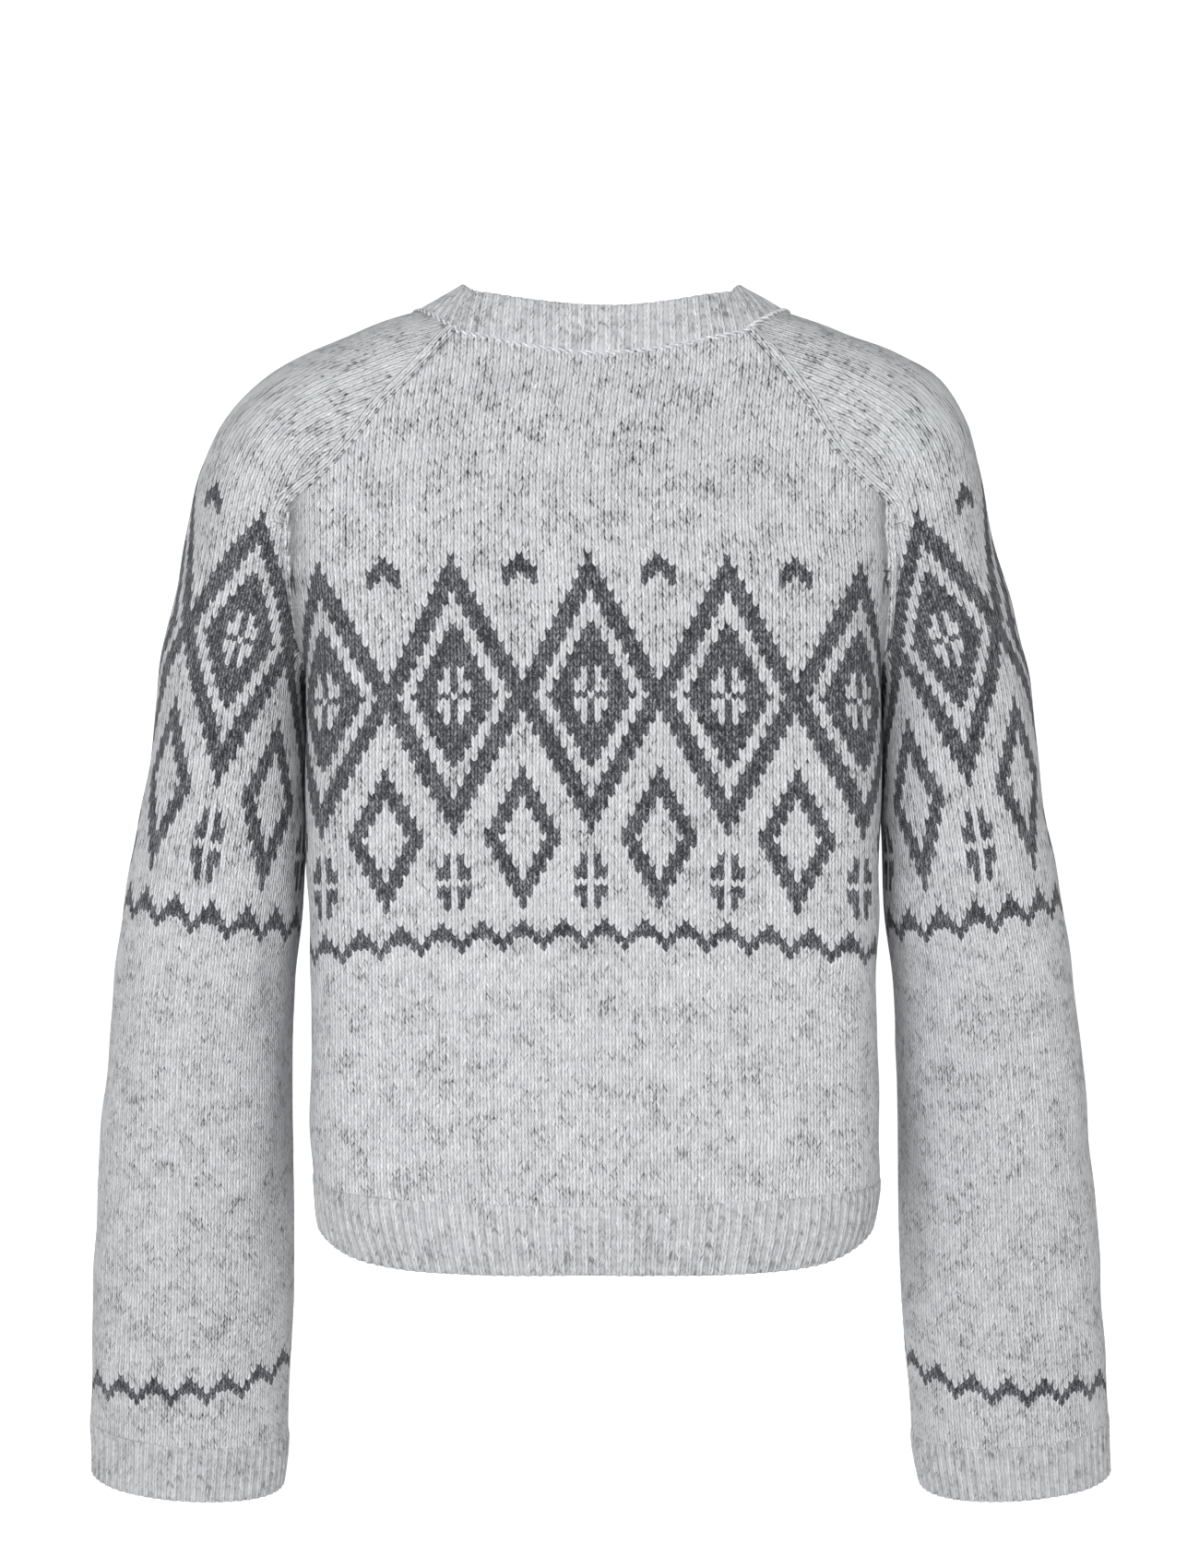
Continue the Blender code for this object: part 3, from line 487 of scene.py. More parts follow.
def clothShell(name, outer, normal, material, reach, marks, ring=False, seams=None):
    # reach: how far each edge rounds outward, (left, right, low, high); 0 lies flat on a seam
    rows, cols = outer.shape[:2]
    left, right, low, high = (0.0, 0.0, reach[2], reach[3]) if ring else reach
    outer = drawnBack(outer, left, right, low, high)
    inner = outer - normal * wall
    index = np.arange(rows * cols).reshape(rows, cols)
    points = [outer.reshape(-1, 3), inner.reshape(-1, 3)]
    carried = [marks.reshape(-1, 3), marks.reshape(-1, 3)]
    faces = []
    count = cols if ring else cols - 1
    a = index[:-1, :count]
    b = np.roll(index, -1, axis=1)[:-1, :count]
    c = np.roll(index, -1, axis=1)[1:, :count]
    d = index[1:, :count]
    quads = np.stack([a, b, c, d], axis=-1).reshape(-1, 4)
    faces.append(quads)
    faces.append(quads[:, ::-1] + rows * cols)
    if ring:
        loops = [(index[0], index[1], low), (index[-1][::-1], index[-2][::-1], high)]
    else:
        edge = np.concatenate([index[0, :-1], index[:-1, -1], index[-1, :0:-1], index[:0:-1, 0]])
        near = np.concatenate([index[1, :-1], index[:-1, -2], index[-2, :0:-1], index[:0:-1, 1]])
        near[[0, cols - 1, cols + rows - 2, 2 * cols + rows - 3]] = [
            index[1, 1], index[1, -2], index[-2, -2], index[-2, 1]]
        out = np.concatenate([np.full(cols - 1, low), np.full(rows - 1, right),
                              np.full(cols - 1, high), np.full(rows - 1, left)])
        loops = [(edge, near, out)]
    flat = outer.reshape(-1, 3)
    flatN = normal.reshape(-1, 3)
    flatS = marks.reshape(-1, 3)
    total = 2 * rows * cols
    sharp = np.zeros(total, int)
    for edge, near, out in loops:
        plain = edge[np.broadcast_to(out, edge.shape) <= 0.0]
        sharp[plain], sharp[plain + rows * cols] = 1, 2
        away = unit(flat[edge] - flat[near])
        n = flatN[edge]
        away = unit(away - (away * n).sum(-1)[:, None] * n)
        out = np.broadcast_to(out, edge.shape)[:, None]
        rings = [edge]
        for turn in (0.25, 0.5, 0.75):
            p = (flat[edge] + away * out * math.sin(math.pi * turn)
                 - n * wall * 0.5 * (1.0 - math.cos(math.pi * turn)))
            points.append(p)
            carried.append(flatS[edge])
            rings.append(np.arange(total, total + len(edge)))
            total += len(edge)
        rings.append(edge + rows * cols)
        for upper, lower in zip(rings[:-1], rings[1:]):
            faces.append(np.stack([upper, lower, np.roll(lower, -1), np.roll(upper, -1)], axis=-1))
    piece = meshPiece(name, np.concatenate(points), np.concatenate(faces), material,
                      np.concatenate(carried), seams)
    mesh = piece.data
    sharp = np.concatenate([sharp, np.zeros(len(mesh.vertices) - len(sharp), int)])
    ends = np.zeros(2 * len(mesh.edges), int)
    mesh.edges.foreach_get("vertices", ends)
    kinds = sharp[ends.reshape(-1, 2)]
    mesh.edges.foreach_set("use_edge_sharp", ((kinds[:, 0] > 0) & (kinds[:, 0] == kinds[:, 1])).tolist())
    return piece


def placed(name, data):
    thing = bpy.data.objects.new(name, data)
    bpy.context.scene.collection.objects.link(thing)
    return thing


def storeVectors(mesh, name, values):
    layer = mesh.attributes.new(name, "FLOAT_VECTOR", "POINT")
    layer.data.foreach_set("vector", np.ascontiguousarray(values, dtype=np.float32).ravel())


def meshPiece(name, points, faces, material, marks=None, seams=None):
    points = lean(points)
    mesh = bpy.data.meshes.new(name)
    mesh.from_pydata((points * 0.001).tolist(), [], [tuple(f) for f in faces.tolist()])
    mesh.validate()
    f = np.array(faces)[:, :3]
    volume = np.einsum("ij,ij->", points[f[:, 0]], np.cross(points[f[:, 1]], points[f[:, 2]]))
    if volume < 0.0:
        mesh.flip_normals()
    mesh.polygons.foreach_set("use_smooth", [True] * len(mesh.polygons))
    if marks is not None:
        storeVectors(mesh, "stitch", marks)
    if seams is not None:  # distance from a raglan seam and place along it
        spread = np.full((len(points), 3), 99.0, dtype=np.float32)
        spread[:len(seams)] = seams
        spread[len(seams):2 * len(seams)] = seams
        storeVectors(mesh, "seam", spread)
    piece = placed(name, mesh)
    mesh.materials.append(material)
    print(name, len(mesh.polygons), "faces")
    return piece


def flatSize(g):  # the cut of a grid laid flat: width, length and area, in metres
    across = lengthOf(np.diff(g, axis=1)).sum(axis=1).max()
    along = lengthOf(np.diff(g, axis=0)).sum(axis=0).max()
    du = np.diff(g, axis=1)[:-1]
    dv = np.diff(g, axis=0)[:, :-1]
    area = lengthOf(np.cross(du, dv)).sum()
    return (across * 0.001, along * 0.001), area * 1e-6


def settle(piece, node, g):
    size, area = flatSize(g)
    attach(piece, bodyName)
    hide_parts(node)
    print(piece.name, "cut", [round(v, 3) for v in size], round(area, 4), "m2")


# ---- where each stitch lies: wales across, rows up, from the knitted chart's middle
bodyRowTable = np.array([
    [-38.5, -362.8], [-29.5, -335.3], [-22.5, -311.0], [0.5, -234.8], [23.0, -158.4]])
sleeveRowTable = np.array([
    [-38.5, -357.9], [-29.5, -316.8], [-22.3, -285.4], [-12.0, -243.4], [0.5, -202.6],
    [13.0, -162.4], [23.3, -131.8]])
cuffZigzagRow = -119  # lowest part of the zigzag above the cuff
stitch = {
    "rowPitch": 3.38,     # height of a row past the ends of those tables
    "bodyWale": 3.68,     # width of a wale of the body, seen straight on
    "turnedWale": 5.2,    # the widest one may get where the body turns away
    "sleeveWale": 3.36,
    "chest": 161.0,       # half width, depth and roundness of the body where wales are counted
    "backDepth": 102.5,
    "frontDepth": 116.0,
    "roundness": 3.0,
    "backMiddle": 1.2,    # the chart's middle lies this far off the back's
}


def rowAt(table, z, pitch=stitch["rowPitch"]):
    row = np.interp(z, table[:, 1], table[:, 0])
    row = np.where(z < table[0, 1], table[0, 0] + (z - table[0, 1]) / pitch, row)
    return np.where(z > table[-1, 1], table[-1, 0] + (z - table[-1, 1]) / pitch, row)


def referenceWales(halfWidth, depth, roundness):  # wales counted round the chest section
    angle = np.linspace(math.pi / 2, 0.0, 900)
    c, h = np.cos(angle), np.sin(angle)
    r = (np.abs(c / halfWidth) ** roundness + np.abs(h / depth) ** roundness) ** (-1.0 / roundness)
    x, y = r * c, r * h
    steps = np.hypot(np.diff(x), np.diff(y))
    wales = np.maximum(np.diff(x) / stitch["bodyWale"], steps / stitch["turnedWale"])
    return angle, x, np.concatenate([[0.0], np.cumsum(wales)])


def bodyStitches(p, back):
    middle = stitch["backMiddle"] if back else 0.0
    chest = stitch["chest"]
    depth = stitch["backDepth" if back else "frontDepth"]
    angle, x, wales = referenceWales(chest, depth, stitch["roundness"])
    level = p[..., 2]
    a = column(bodyTable, 1, np.minimum(level, -150.0))
    b = column(bodyTable, 2 if back else 3, np.minimum(level, -150.0))
    xs = np.abs(p[..., 0] - middle) * chest / a
    ys = np.abs(p[..., 1]) * depth / b
    byX = np.interp(xs, x, wales) + np.maximum(xs - chest, 0.0) / stitch["bodyWale"]
    turned = np.arctan2(ys, xs)
    byTurn = np.interp(-turned, -angle, wales)
    share = fade(level, -232.0, -224.0)
    across = np.sign(p[..., 0] - middle) * (byX * share + byTurn * (1.0 - share)) + 0.5
    far = (np.minimum(np.abs(p[..., 0]), 160.0) / 154.0) ** 2
    droop = np.interp(level, [-500.0, -372.0, -340.0, -235.0, -120.0], [2.0, 12.5, 4.2, 3.4, 3.4])
    rows = rowAt(bodyRowTable, level + droop * far)
    return np.stack([across, rows, 0.0 * rows], axis=-1)


def sleeveStitches(p):
    flat = p.reshape(-1, 3)
    centre = axisRows[:, :3]
    k = np.argmin(((flat[:, None, :] - centre[None]) ** 2).sum(-1), axis=1)
    d = flat - centre[k]
    forward = (d * axisTangent[k]).sum(1)
    d = d - axisTangent[k] * forward[:, None]
    down = lengthAlong(centre)[k] + forward
    downAtTop = np.interp(131.8, -centre[:, 2], lengthAlong(centre))
    backWay = axisBack[k] * np.sign(axisBack[k][:, 1:2])
    a = (d * axisSide[k]).sum(1)
    b = (d * backWay).sum(1)
    w, h = axisRows[k, 3], axisRows[k, 4]
    turn = np.arctan2(a / w, b / h).reshape(p.shape[:2])
    turn = np.unwrap(turn[:, ::-1], axis=1)[:, ::-1].reshape(-1)  # counted from the seam at the back
    arc = np.zeros_like(turn)
    for step in np.linspace(0.0, 1.0, 33)[1:] - 1.0 / 64.0:
        arc += np.sqrt((w * np.cos(turn * step)) ** 2 + (h * np.sin(turn * step)) ** 2) * turn / 32.0
    z = flat[:, 2]
    start = np.interp(z, [-320.0, -277.0, -201.0, -133.0], [3.0, -0.8, -5.0, -2.7])
    across = 0.5 + (arc - start) / stitch["sleeveWale"]
    slope = np.interp(z, [-600.0, -360.0, -200.0, -160.0], [-0.02, 0.19, 0.23, 0.33])
    axisX = np.interp(z, centre[::-1, 2], centre[::-1, 0])
    outerDip = np.interp(z, [-600.0, -360.0], [5.0, 0.0])
    innerDip = np.interp(z, [-640.0, -600.0, -360.0, -300.0], [20.0, 18.0, 7.0, 0.0])
    dip = np.where(np.abs(flat[:, 0]) > axisX, outerDip, innerDip)
    bent = fade(z, -195.0, -145.0)
    height = z * (1.0 - bent) + (downAtTop - down - 131.8) * bent
    tipped = slope * (np.abs(flat[:, 0]) - axisX)
    rows = rowAt(sleeveRowTable, height - tipped - dip * (1.0 - np.abs(b / h)))
    return np.stack([across, rows, 0.0 * rows], axis=-1).reshape(p.shape)


def readLine(at, length, line):
    return np.stack([np.interp(at, length, line[:, k]) for k in range(3)], axis=1)


def raglanMarks(g, capRows):  # distance of each sleeve point from its raglan seams, and place along them
    flat = g.reshape(-1, 3)
    best = np.full(len(flat), 99.0)
    along = np.zeros(len(flat))
    for col in (0, -1):
        seam = g[-capRows - 1:, col]
        length = lengthAlong(seam)
        fine = np.linspace(0.0, length[-1], 700)
        points = readLine(fine, length, seam)
        for start in range(0, len(flat), 4000):
            part = flat[start:start + 4000]
            d2 = ((part[:, None] - points[None]) ** 2).sum(-1)
            k = d2.argmin(axis=1)
            d = np.sqrt(d2[np.arange(len(part)), k])
            nearer = d < best[start:start + 4000]
            best[start:start + 4000] = np.where(nearer, d, best[start:start + 4000])
            along[start:start + 4000] = np.where(nearer, fine[k], along[start:start + 4000])
    level = flat[:, 2]
    best = best + 60.0 * fade(-level, 138.0, 150.0)
    return np.stack([best, along, 0.0 * best], axis=1)


# ---- yarn and knitting as materials
class Signal:  # a shader socket that takes part in Python sums
    def __init__(self, board, socket):
        self.board = board
        self.socket = socket

    def sum(self, kind, first, second=None):
        inputs = {0: first} if second is None else {0: first, 1: second}
        return self.board.add("ShaderNodeMath", {"operation": kind}, inputs)[0]

    def __abs__(self):
        return self.sum("ABSOLUTE", self)

    def floor(self):
        return self.sum("FLOOR", self)

    def part(self):
        return self.sum("FRACT", self)

    def clip(self, low=0.0, high=1.0):
        return self.sum("MINIMUM", self.sum("MAXIMUM", self, low), high)


def operator(kind, turned=False):
    def method(self, other):
        return self.sum(kind, other, self) if turned else self.sum(kind, self, other)
    return method


for name, kind in {"add": "ADD", "sub": "SUBTRACT", "mul": "MULTIPLY", "truediv": "DIVIDE", "pow": "POWER",
                   "lt": "LESS_THAN", "gt": "GREATER_THAN", "or": "MAXIMUM", "and": "MULTIPLY"}.items():
    setattr(Signal, "__%s__" % name, operator(kind))
for name, kind in {"radd": "ADD", "rsub": "SUBTRACT", "rmul": "MULTIPLY"}.items():
    setattr(Signal, "__%s__" % name, operator(kind, True))


class Board:  # one material's nodes
    def __init__(self, name, finish):
        self.material = bpy.data.materials.new(name)
        self.material.use_nodes = True
        self.tree = self.material.node_tree
        self.shader = self.tree.nodes["Principled BSDF"]
        for socket, value in finish.items():
            self.shader.inputs[socket].default_value = value

    def add(self, kind, settings=None, inputs=None):
        node = self.tree.nodes.new(kind)
        for key, value in (settings or {}).items():
            setattr(node, key, value)
        for key, value in (inputs or {}).items():
            if isinstance(value, Signal):
                self.tree.links.new(value.socket, node.inputs[key])
            else:
                node.inputs[key].default_value = value
        return [Signal(self, socket) for socket in node.outputs]

    def noise(self, vector, scale, detail=2.0, rough=0.5):
        return self.add("ShaderNodeTexNoise", {"noise_dimensions": "3D"}, {
            "Vector": vector, "Scale": scale, "Detail": detail, "Roughness": rough})[0]

    def vector(self, x, y, z=0.0):
        return self.add("ShaderNodeCombineXYZ", {}, {0: x, 1: y, 2: z})[0]

    def parts(self, vector):
        return self.add("ShaderNodeSeparateXYZ", {}, {0: vector})

    def carried(self, name):  # the first two values that the mesh carries under this name
        return self.parts(self.add("ShaderNodeAttribute", {"attribute_name": name})[1])[:2]

    def place(self):
        return self.add("ShaderNodeTexCoord")[3]

    def blend(self, factor, first, second, kind="MIX"):
        first, second = ((*c, 1.0) if isinstance(c, tuple) else c for c in (first, second))
        return self.add("ShaderNodeMix", {"data_type": "RGBA", "blend_type": kind},
                        {0: factor, 6: first, 7: second})[2]

    def dimmed(self, colour, value):
        return self.blend(1.0, colour, self.vector(value, value, value), "MULTIPLY")

    def feed(self, socket, signal):
        self.tree.links.new(signal.socket, self.shader.inputs[socket])

    def raised(self, height, distance, strength=1.0):
        self.feed("Normal", self.add("ShaderNodeBump", {}, {
            "Strength": strength, "Distance": distance, "Height": height})[0])


yarn = {
    "palerShade": (0.770, 0.782, 0.800),
    "dimShade": (0.400, 0.408, 0.428),
    "darkShade": (0.024, 0.027, 0.033),
    "darkPaler": (0.235, 0.245, 0.262),
    "legLag": 0.56,         # how far a leg of the V climbs between its two ends, in rows
    "legPlace": 0.25,
    "legLean": 0.13,        # how far a leg moves outward as it climbs
    "legWidth": 0.25,
    "relief": 0.0012,       # height of a stitch above its groove, m
    "grooveShade": 0.98,    # how much painted shade darkens the grooves
    "fleckShadeSpread": 0.30,    # how far a dark fleck and its painted shade spread from the groove over the leg
    "sheen": 0.12,
    "edgeWales": 2.5,       # wales that run along a raglan seam
    "edgePitch": 3.3,       # their width, mm
    "rowPitch": 3.5,        # height of a row in the ribs and along a raglan seam, mm
    "wobbleScale": 150.0,   # how finely the stitches wander
    "fuzzScale": 620.0,     # how finely their edges break up
}
woolFinish = {"Roughness": 0.92, "Specular IOR Level": 0.12, "Sheen Weight": yarn["sheen"],
              "Sheen Roughness": 0.6, "Sheen Tint": (0.95, 0.96, 1.0, 1.0)}


def within(value, low, high):
    return (value > low) & (value < high)


def chartDark(i, r, cuffRow):  # 1 where the dark yarn knits this stitch
    c = abs(((i + 10.25) / 20.0).part() * 20.0 - 10.25)
    up = abs(r)
    span = 2.0 * c + up
    outline = within(span, 16.5, 22.5)
    flower = (within(up, 2.5, 4.5) & within(c, 0.5, 1.5)) | (within(up, 0.5, 2.5) & within(c, 0.5, 2.5))
    flower = flower | ((up < 0.5) & (c < 0.5))
    solid = (span < 12.5) & (up < 11.5) & (1.0 - flower)
    e = 10.0 - c
    away = abs(r + 23.0)
    small = within(2.0 * e + away, 6.5, 11.5)
    lowUp = abs(r + 30.0)
    bud = (within(lowUp, 2.5, 4.5) & within(c, 0.5, 1.5)) | (within(lowUp, 0.5, 2.5) & within(c, 0.5, 2.5))
    tip = (e < 2.5) & within(r + e, 19.5, 22.5)
    tri = abs(((i + 5.25) / 6.0).part() * 6.0 - 3.25)
    foot = -0.5 - (tri - 1.0).clip(0.0, 9.0)
    zigzag = within(r + 39.0, foot, 2.5 - tri)
    lowZigzag = within(r - cuffRow, foot, 2.5 - tri)
    return outline | solid | small | bud | tip | zigzag | lowZigzag


def legOf(x, v, fine):  # one leg of a V: which row it belongs to and how high it stands
    ax = abs(x)
    climbed = v - ax * (2.0 * yarn["legLag"]) + fine * 0.50
    j = climbed.floor()
    along = climbed - j - 0.5
    across = (ax - yarn["legPlace"] - along * yarn["legLean"]) / yarn["legWidth"]
    height = (1.0 - across * across).clip() ** 0.5 * (1.0 - (abs(along) * 2.0) ** 4.0 * 0.30)
    return climbed, j, along, height


def heather(board, legId, climbed, j, place):  # pale, dim and flecked fibres spun together
    dash = board.noise(board.vector(legId * 3.71, climbed * 0.70), 1.0, 2.0, 0.55)
    fleck = board.noise(board.vector(legId * 5.37 + 17.0, climbed * 0.85 + 31.0), 1.0, 2.0, 0.6)
    cloud = board.noise(place, 75.0, 3.0, 0.6)
    tint = board.add("ShaderNodeTexWhiteNoise", {"noise_dimensions": "2D"},
                     {"Vector": board.vector(legId, j * 1.7)})[0]
    tone = ((dash - 0.5) * 0.9 + (cloud - 0.5) * 0.45 + (tint - 0.5) * 0.30 + 0.66).clip()
    # shadow: where dark flecks lie, later used as painted shade in the grooves
    shadow = ((fleck - 0.495 + (0.5 - cloud) * 0.50) * 5.0).clip() * 0.85 + 0.08
    return board.blend(tone, yarn["dimShade"], yarn["palerShade"]), dash, tint, shadow


def shaded(board, colour, side, height, shadow, fibre, regular):
    # painted groove shade: the grooves darken, most where dark flecks lie, and that darkening spreads over
    # the leg; regular: how evenly the painted shade in the grooves between wales shows
    line = side * regular * (0.34 + shadow * 0.80)
    gap = (line + (1.0 + shadow * yarn["fleckShadeSpread"] - height).clip() * shadow).clip() * yarn["grooveShade"]
    value = (1.0 - gap + (fibre - 0.5) * 0.26).clip(0.05, 2.0)
    return board.dimmed(colour, value)


def woolStart(name):  # what plain knitting and ribs share: stitch, row, place, wandering and fuzz
    board = Board(name, woolFinish)
    u, v = board.carried("stitch")
    place = board.place()
    wobble = board.noise(place, yarn["wobbleScale"], 1.0) - 0.5
    fine = board.noise(place, yarn["fuzzScale"], 1.0) - 0.5
    return board, u, v, place, wobble, fine


def knitting(name):
    board, u, v, place, wobble, fine = woolStart(name)
    off, up = board.carried("seam")
    onEdge = within(off, 0.001, yarn["edgeWales"] * yarn["edgePitch"])
    u = u + onEdge * (off / yarn["edgePitch"] + 200.0 - u)
    v = v + onEdge * (up / yarn["rowPitch"] - v) + wobble * 0.25
    u = u + wobble * 0.25 + fine * 0.30
    i = u.floor()
    x = u.part() - 0.5
    legId = i * 2.0 + (x > 0.0)
    climbed, j, along, height = legOf(x, v, fine)
    colour, dash, tint, shadow = heather(board, legId, climbed, j, place)
    fibre = board.noise(board.vector(u * 8.0 + along * 3.0, v * 2.0), 1.0, 2.0, 0.7)
    haze = ((board.noise(place, 1150.0, 1.0) - 0.57) * 5.0).clip() * 0.5
    dark = (chartDark(i, j, cuffZigzagRow) & (1.0 - onEdge)) * (1.0 - haze)
    # painted highlight on the crests of the dark yarn's legs and painted shade in its grooves, with random
    # lighter fibres
    crest = (height * 2.0 - 1.0).clip() * (1.0 - along * along * 3.0)
    darkToneAndHighlight = (crest * (0.66 + (dash - 0.5) * 3.0 + (tint - 0.5) * 1.1) + (fibre - 0.5) * 1.0).clip()
    colour = board.blend(dark, colour, board.blend(darkToneAndHighlight, yarn["darkShade"], yarn["darkPaler"]))
    onSeam = within(off, 0.001, 1.9) & ((up / 6.8 + wobble).part() < 0.42)
    # side: painted shade along the edges of each wale, deepest between rows
    side = (abs(x) * 2.0) ** 3.0 * (0.6 + along * along * 1.6)
    # regular: the painted shade between wales shows fully high on the garment and weaker lower down
    regular = ((board.parts(place)[2] + 0.46) * 5.0).clip(0.40, 1.0)
    # flecks and seam marks set where the painted groove shade is darkest
    fleckShade = (shadow + onSeam).clip()
    board.feed("Base Color", shaded(board, colour, side, height, fleckShade, fibre, regular))
    board.raised(height + (fibre - 0.5) * 0.6, yarn["relief"])
    return board.material


rib = {"pitch": 6.5, "neckPitch": 7.2, "cuffRibs": 56, "bandRibs": 5, "rise": 1.0, "columns": 8,
       "knitShare": 0.62}   # of a rib's width that is knit


def ribbing(name):
    board, u, v, place, wobble, fine = woolStart(name)
    u = u + wobble * 0.16 + fine * 0.10
    i = u.floor()
    x = u.part() - 0.5
    knit = abs(x) < rib["knitShare"] * 0.5
    legId = i * 3.0 + (x > 0.0) + (1.0 - knit) * 2.0
    climbed, j, along, height = legOf(x / rib["knitShare"], v + wobble * 0.25, fine)
    colour, _, _, shadow = heather(board, legId, climbed, j, place)
    fibre = board.noise(board.vector(u * 12.0 + along * 3.0, v * 2.0), 1.0, 2.0, 0.7)
    height = height * knit + (1.0 - knit) * 0.55
    # painted highlight along each knit rib's ridge and painted shade in the purl valleys; 0.84 dims the ribs
    # throughout
    line = (1.0 - (x / 0.15) ** 2.0).clip()
    value = 0.84 + line * 0.12 - (1.0 - knit) * 0.14
    colour = board.dimmed(colour, value)
    board.feed("Base Color", shaded(board, colour, 0.0, height, shadow * 0.9, fibre, 0.0))
    board.raised(height + (fibre - 0.5) * 0.6, yarn["relief"] * 0.8)
    return board.material


def linkMaterial():
    board = Board("linking yarn", woolFinish)
    tone = ((board.noise(board.place(), 420.0, 2.0) - 0.5) * 2.4 + 0.38).clip()
    board.feed("Base Color", board.blend(tone, yarn["dimShade"], yarn["palerShade"]))
    return board.material


knitPatterned = knitting("stranded wool")
knitRib = ribbing("ribbed wool")
print("materials made")

# ---- soft unevenness of worn knitting, the same each run
swell = np.array([
    [0.071, 0.013, 0.052, 0.3, 0.30], [0.047, -0.021, 0.083, 1.9, 0.34],
    [0.110, 0.034, -0.061, 4.1, 0.20], [-0.032, 0.058, 0.127, 2.6, 0.22],
    [0.155, -0.041, 0.098, 5.2, 0.14], [0.021, 0.017, 0.031, 0.9, 0.5]])


def uneven(p):
    total = 0.0
    for kx, ky, kz, phase, size in swell:
        total = total + size * np.sin(p[..., 0] * kx + p[..., 1] * ky + p[..., 2] * kz + phase)
    return total


# creases: side of the garment (1 back, -1 front), start and end in x and z, width and depth
creases = np.array([
    [1, 172, -430, 186, -560, 7, 2.2],
    [1, 176, -300, 181, -420, 6, 1.6],
    [1, -172, -430, -186, -575, 7, 2.4],
    [1, 138, -470, 96, -430, 16, 2],
    [1, -138, -480, -110, -420, 15, 1.6],
    [-1, 172, -420, 184, -570, 7, 2.2],
    [-1, -172, -440, -184, -560, 7, 2],
    [-1, 138, -470, 100, -436, 15, 1.8],
    [-1, -138, -474, -96, -426, 15, 1.8],
])


def creased(p):
    total = 0.0
    for face, x0, z0, x1, z1, width, depth in creases:
        dx, dz = x1 - x0, z1 - z0
        long2 = dx * dx + dz * dz
        t = ((p[..., 0] - x0) * dx + (p[..., 2] - z0) * dz) / long2
        tc = np.clip(t, 0.0, 1.0)
        off = np.hypot(p[..., 0] - x0 - tc * dx, p[..., 2] - z0 - tc * dz)
        share = np.sin(math.pi * np.clip(tc * 0.9 + 0.05, 0, 1)) ** 0.7
        total = total + depth * share * np.exp(-(off / width) ** 2) * (p[..., 1] * face > 0.0)
    return total


def worked(g, n, ridge=None):
    # the surface moves least at a panel's edges, which stay together at the seams
    steps = lengthOf(np.diff(g, axis=1))
    fromLeft = np.concatenate([np.zeros((len(g), 1)), np.cumsum(steps, axis=1)], axis=1)
    fromEdge = np.minimum(fromLeft, fromLeft[:, -1:] - fromLeft)
    move = (uneven(g) - creased(g)) * fade(fromEdge, 0.0, 14.0)
    atSide = (g[..., 2] < underarmZ) * (np.abs(g[..., 0]) > 40.0)
    sideSeam = 0.6 * np.exp(-(fromEdge / 1.8) ** 2) * atSide
    if ridge is not None:
        move = move + ridge
    return g + n * (move - sideSeam)[..., None]


# ---- body
panel = {"lowRows": 100, "highRows": 64, "backCols": 168, "frontCols": 76, "sleeveCols": 112,
         "armRows": 150, "seamRound": 0.6, "edgeRound": 1.2}
round1, round2 = panel["seamRound"], panel["edgeRound"]


def squared(n, col):
    n = n.copy()
    n[:, col, 0] = 0.0
    return unit(n)


def sink(p, inward):  # the left front edge steps in to pass under the upper band
    x = p[..., 0]
    depth = cut["bandStep"] * fade(34.0 - x, 0.0, 15.0) * (x > 0.0) * (p[..., 1] < 0.0)
    return p - inward * depth[..., None]


def panelPiece(name, node, outer, normal, marks, flat, reach=(0, 0, 0, 0), seams=None):
    piece = clothShell(name, outer, normal, knitPatterned, reach, marks, seams=seams)
    settle(piece, node, flat)


back = backGrid(panel["lowRows"], panel["highRows"], panel["backCols"])
backN = clothNormals(back, bodyField)
panelPiece("back_panel", "back", worked(back, backN), backN, bodyStitches(back, True), back)

front = frontGrid(panel["lowRows"], panel["highRows"], panel["frontCols"])
front[:, -1, 0] = cut["bandHalf"]
frontN = squared(clothNormals(front, bodyField), -1)
panelPiece("front_panel_left", "front_left", sink(worked(front, frontN), frontN), frontN,
           bodyStitches(front, False), front, (0, round1, 0, 0))
frontRight = mirrored(front)
frontRightN = mirrored(frontN)
panelPiece("front_panel_right", "front_right", worked(frontRight, frontRightN), frontRightN,
           bodyStitches(frontRight, False), front, (round1, 0, 0, 0))

sleeve = sleeveGrid(panel["highRows"], panel["armRows"], panel["sleeveCols"])
sleeveN = clothNormals(sleeve, sleeveField)
sleeveMarks = sleeveStitches(sleeve)
seamGrid = raglanMarks(sleeve, panel["highRows"]).reshape(sleeve.shape)
ridge = 0.9 * np.exp(-((seamGrid[..., 0] - 3.6) / 2.6) ** 2)
for word, g, n, marks, seams, rise in (
        ("left", sleeve, sleeveN, sleeveMarks, seamGrid, ridge),
        ("right", mirrored(sleeve), mirrored(sleeveN), sleeveMarks[:, ::-1], seamGrid[:, ::-1],
         ridge[:, ::-1])):
    panelPiece("sleeve_panel_" + word, "sleeve_" + word, worked(g, n, rise), n, marks, sleeve,
               seams=seams.reshape(-1, 3))


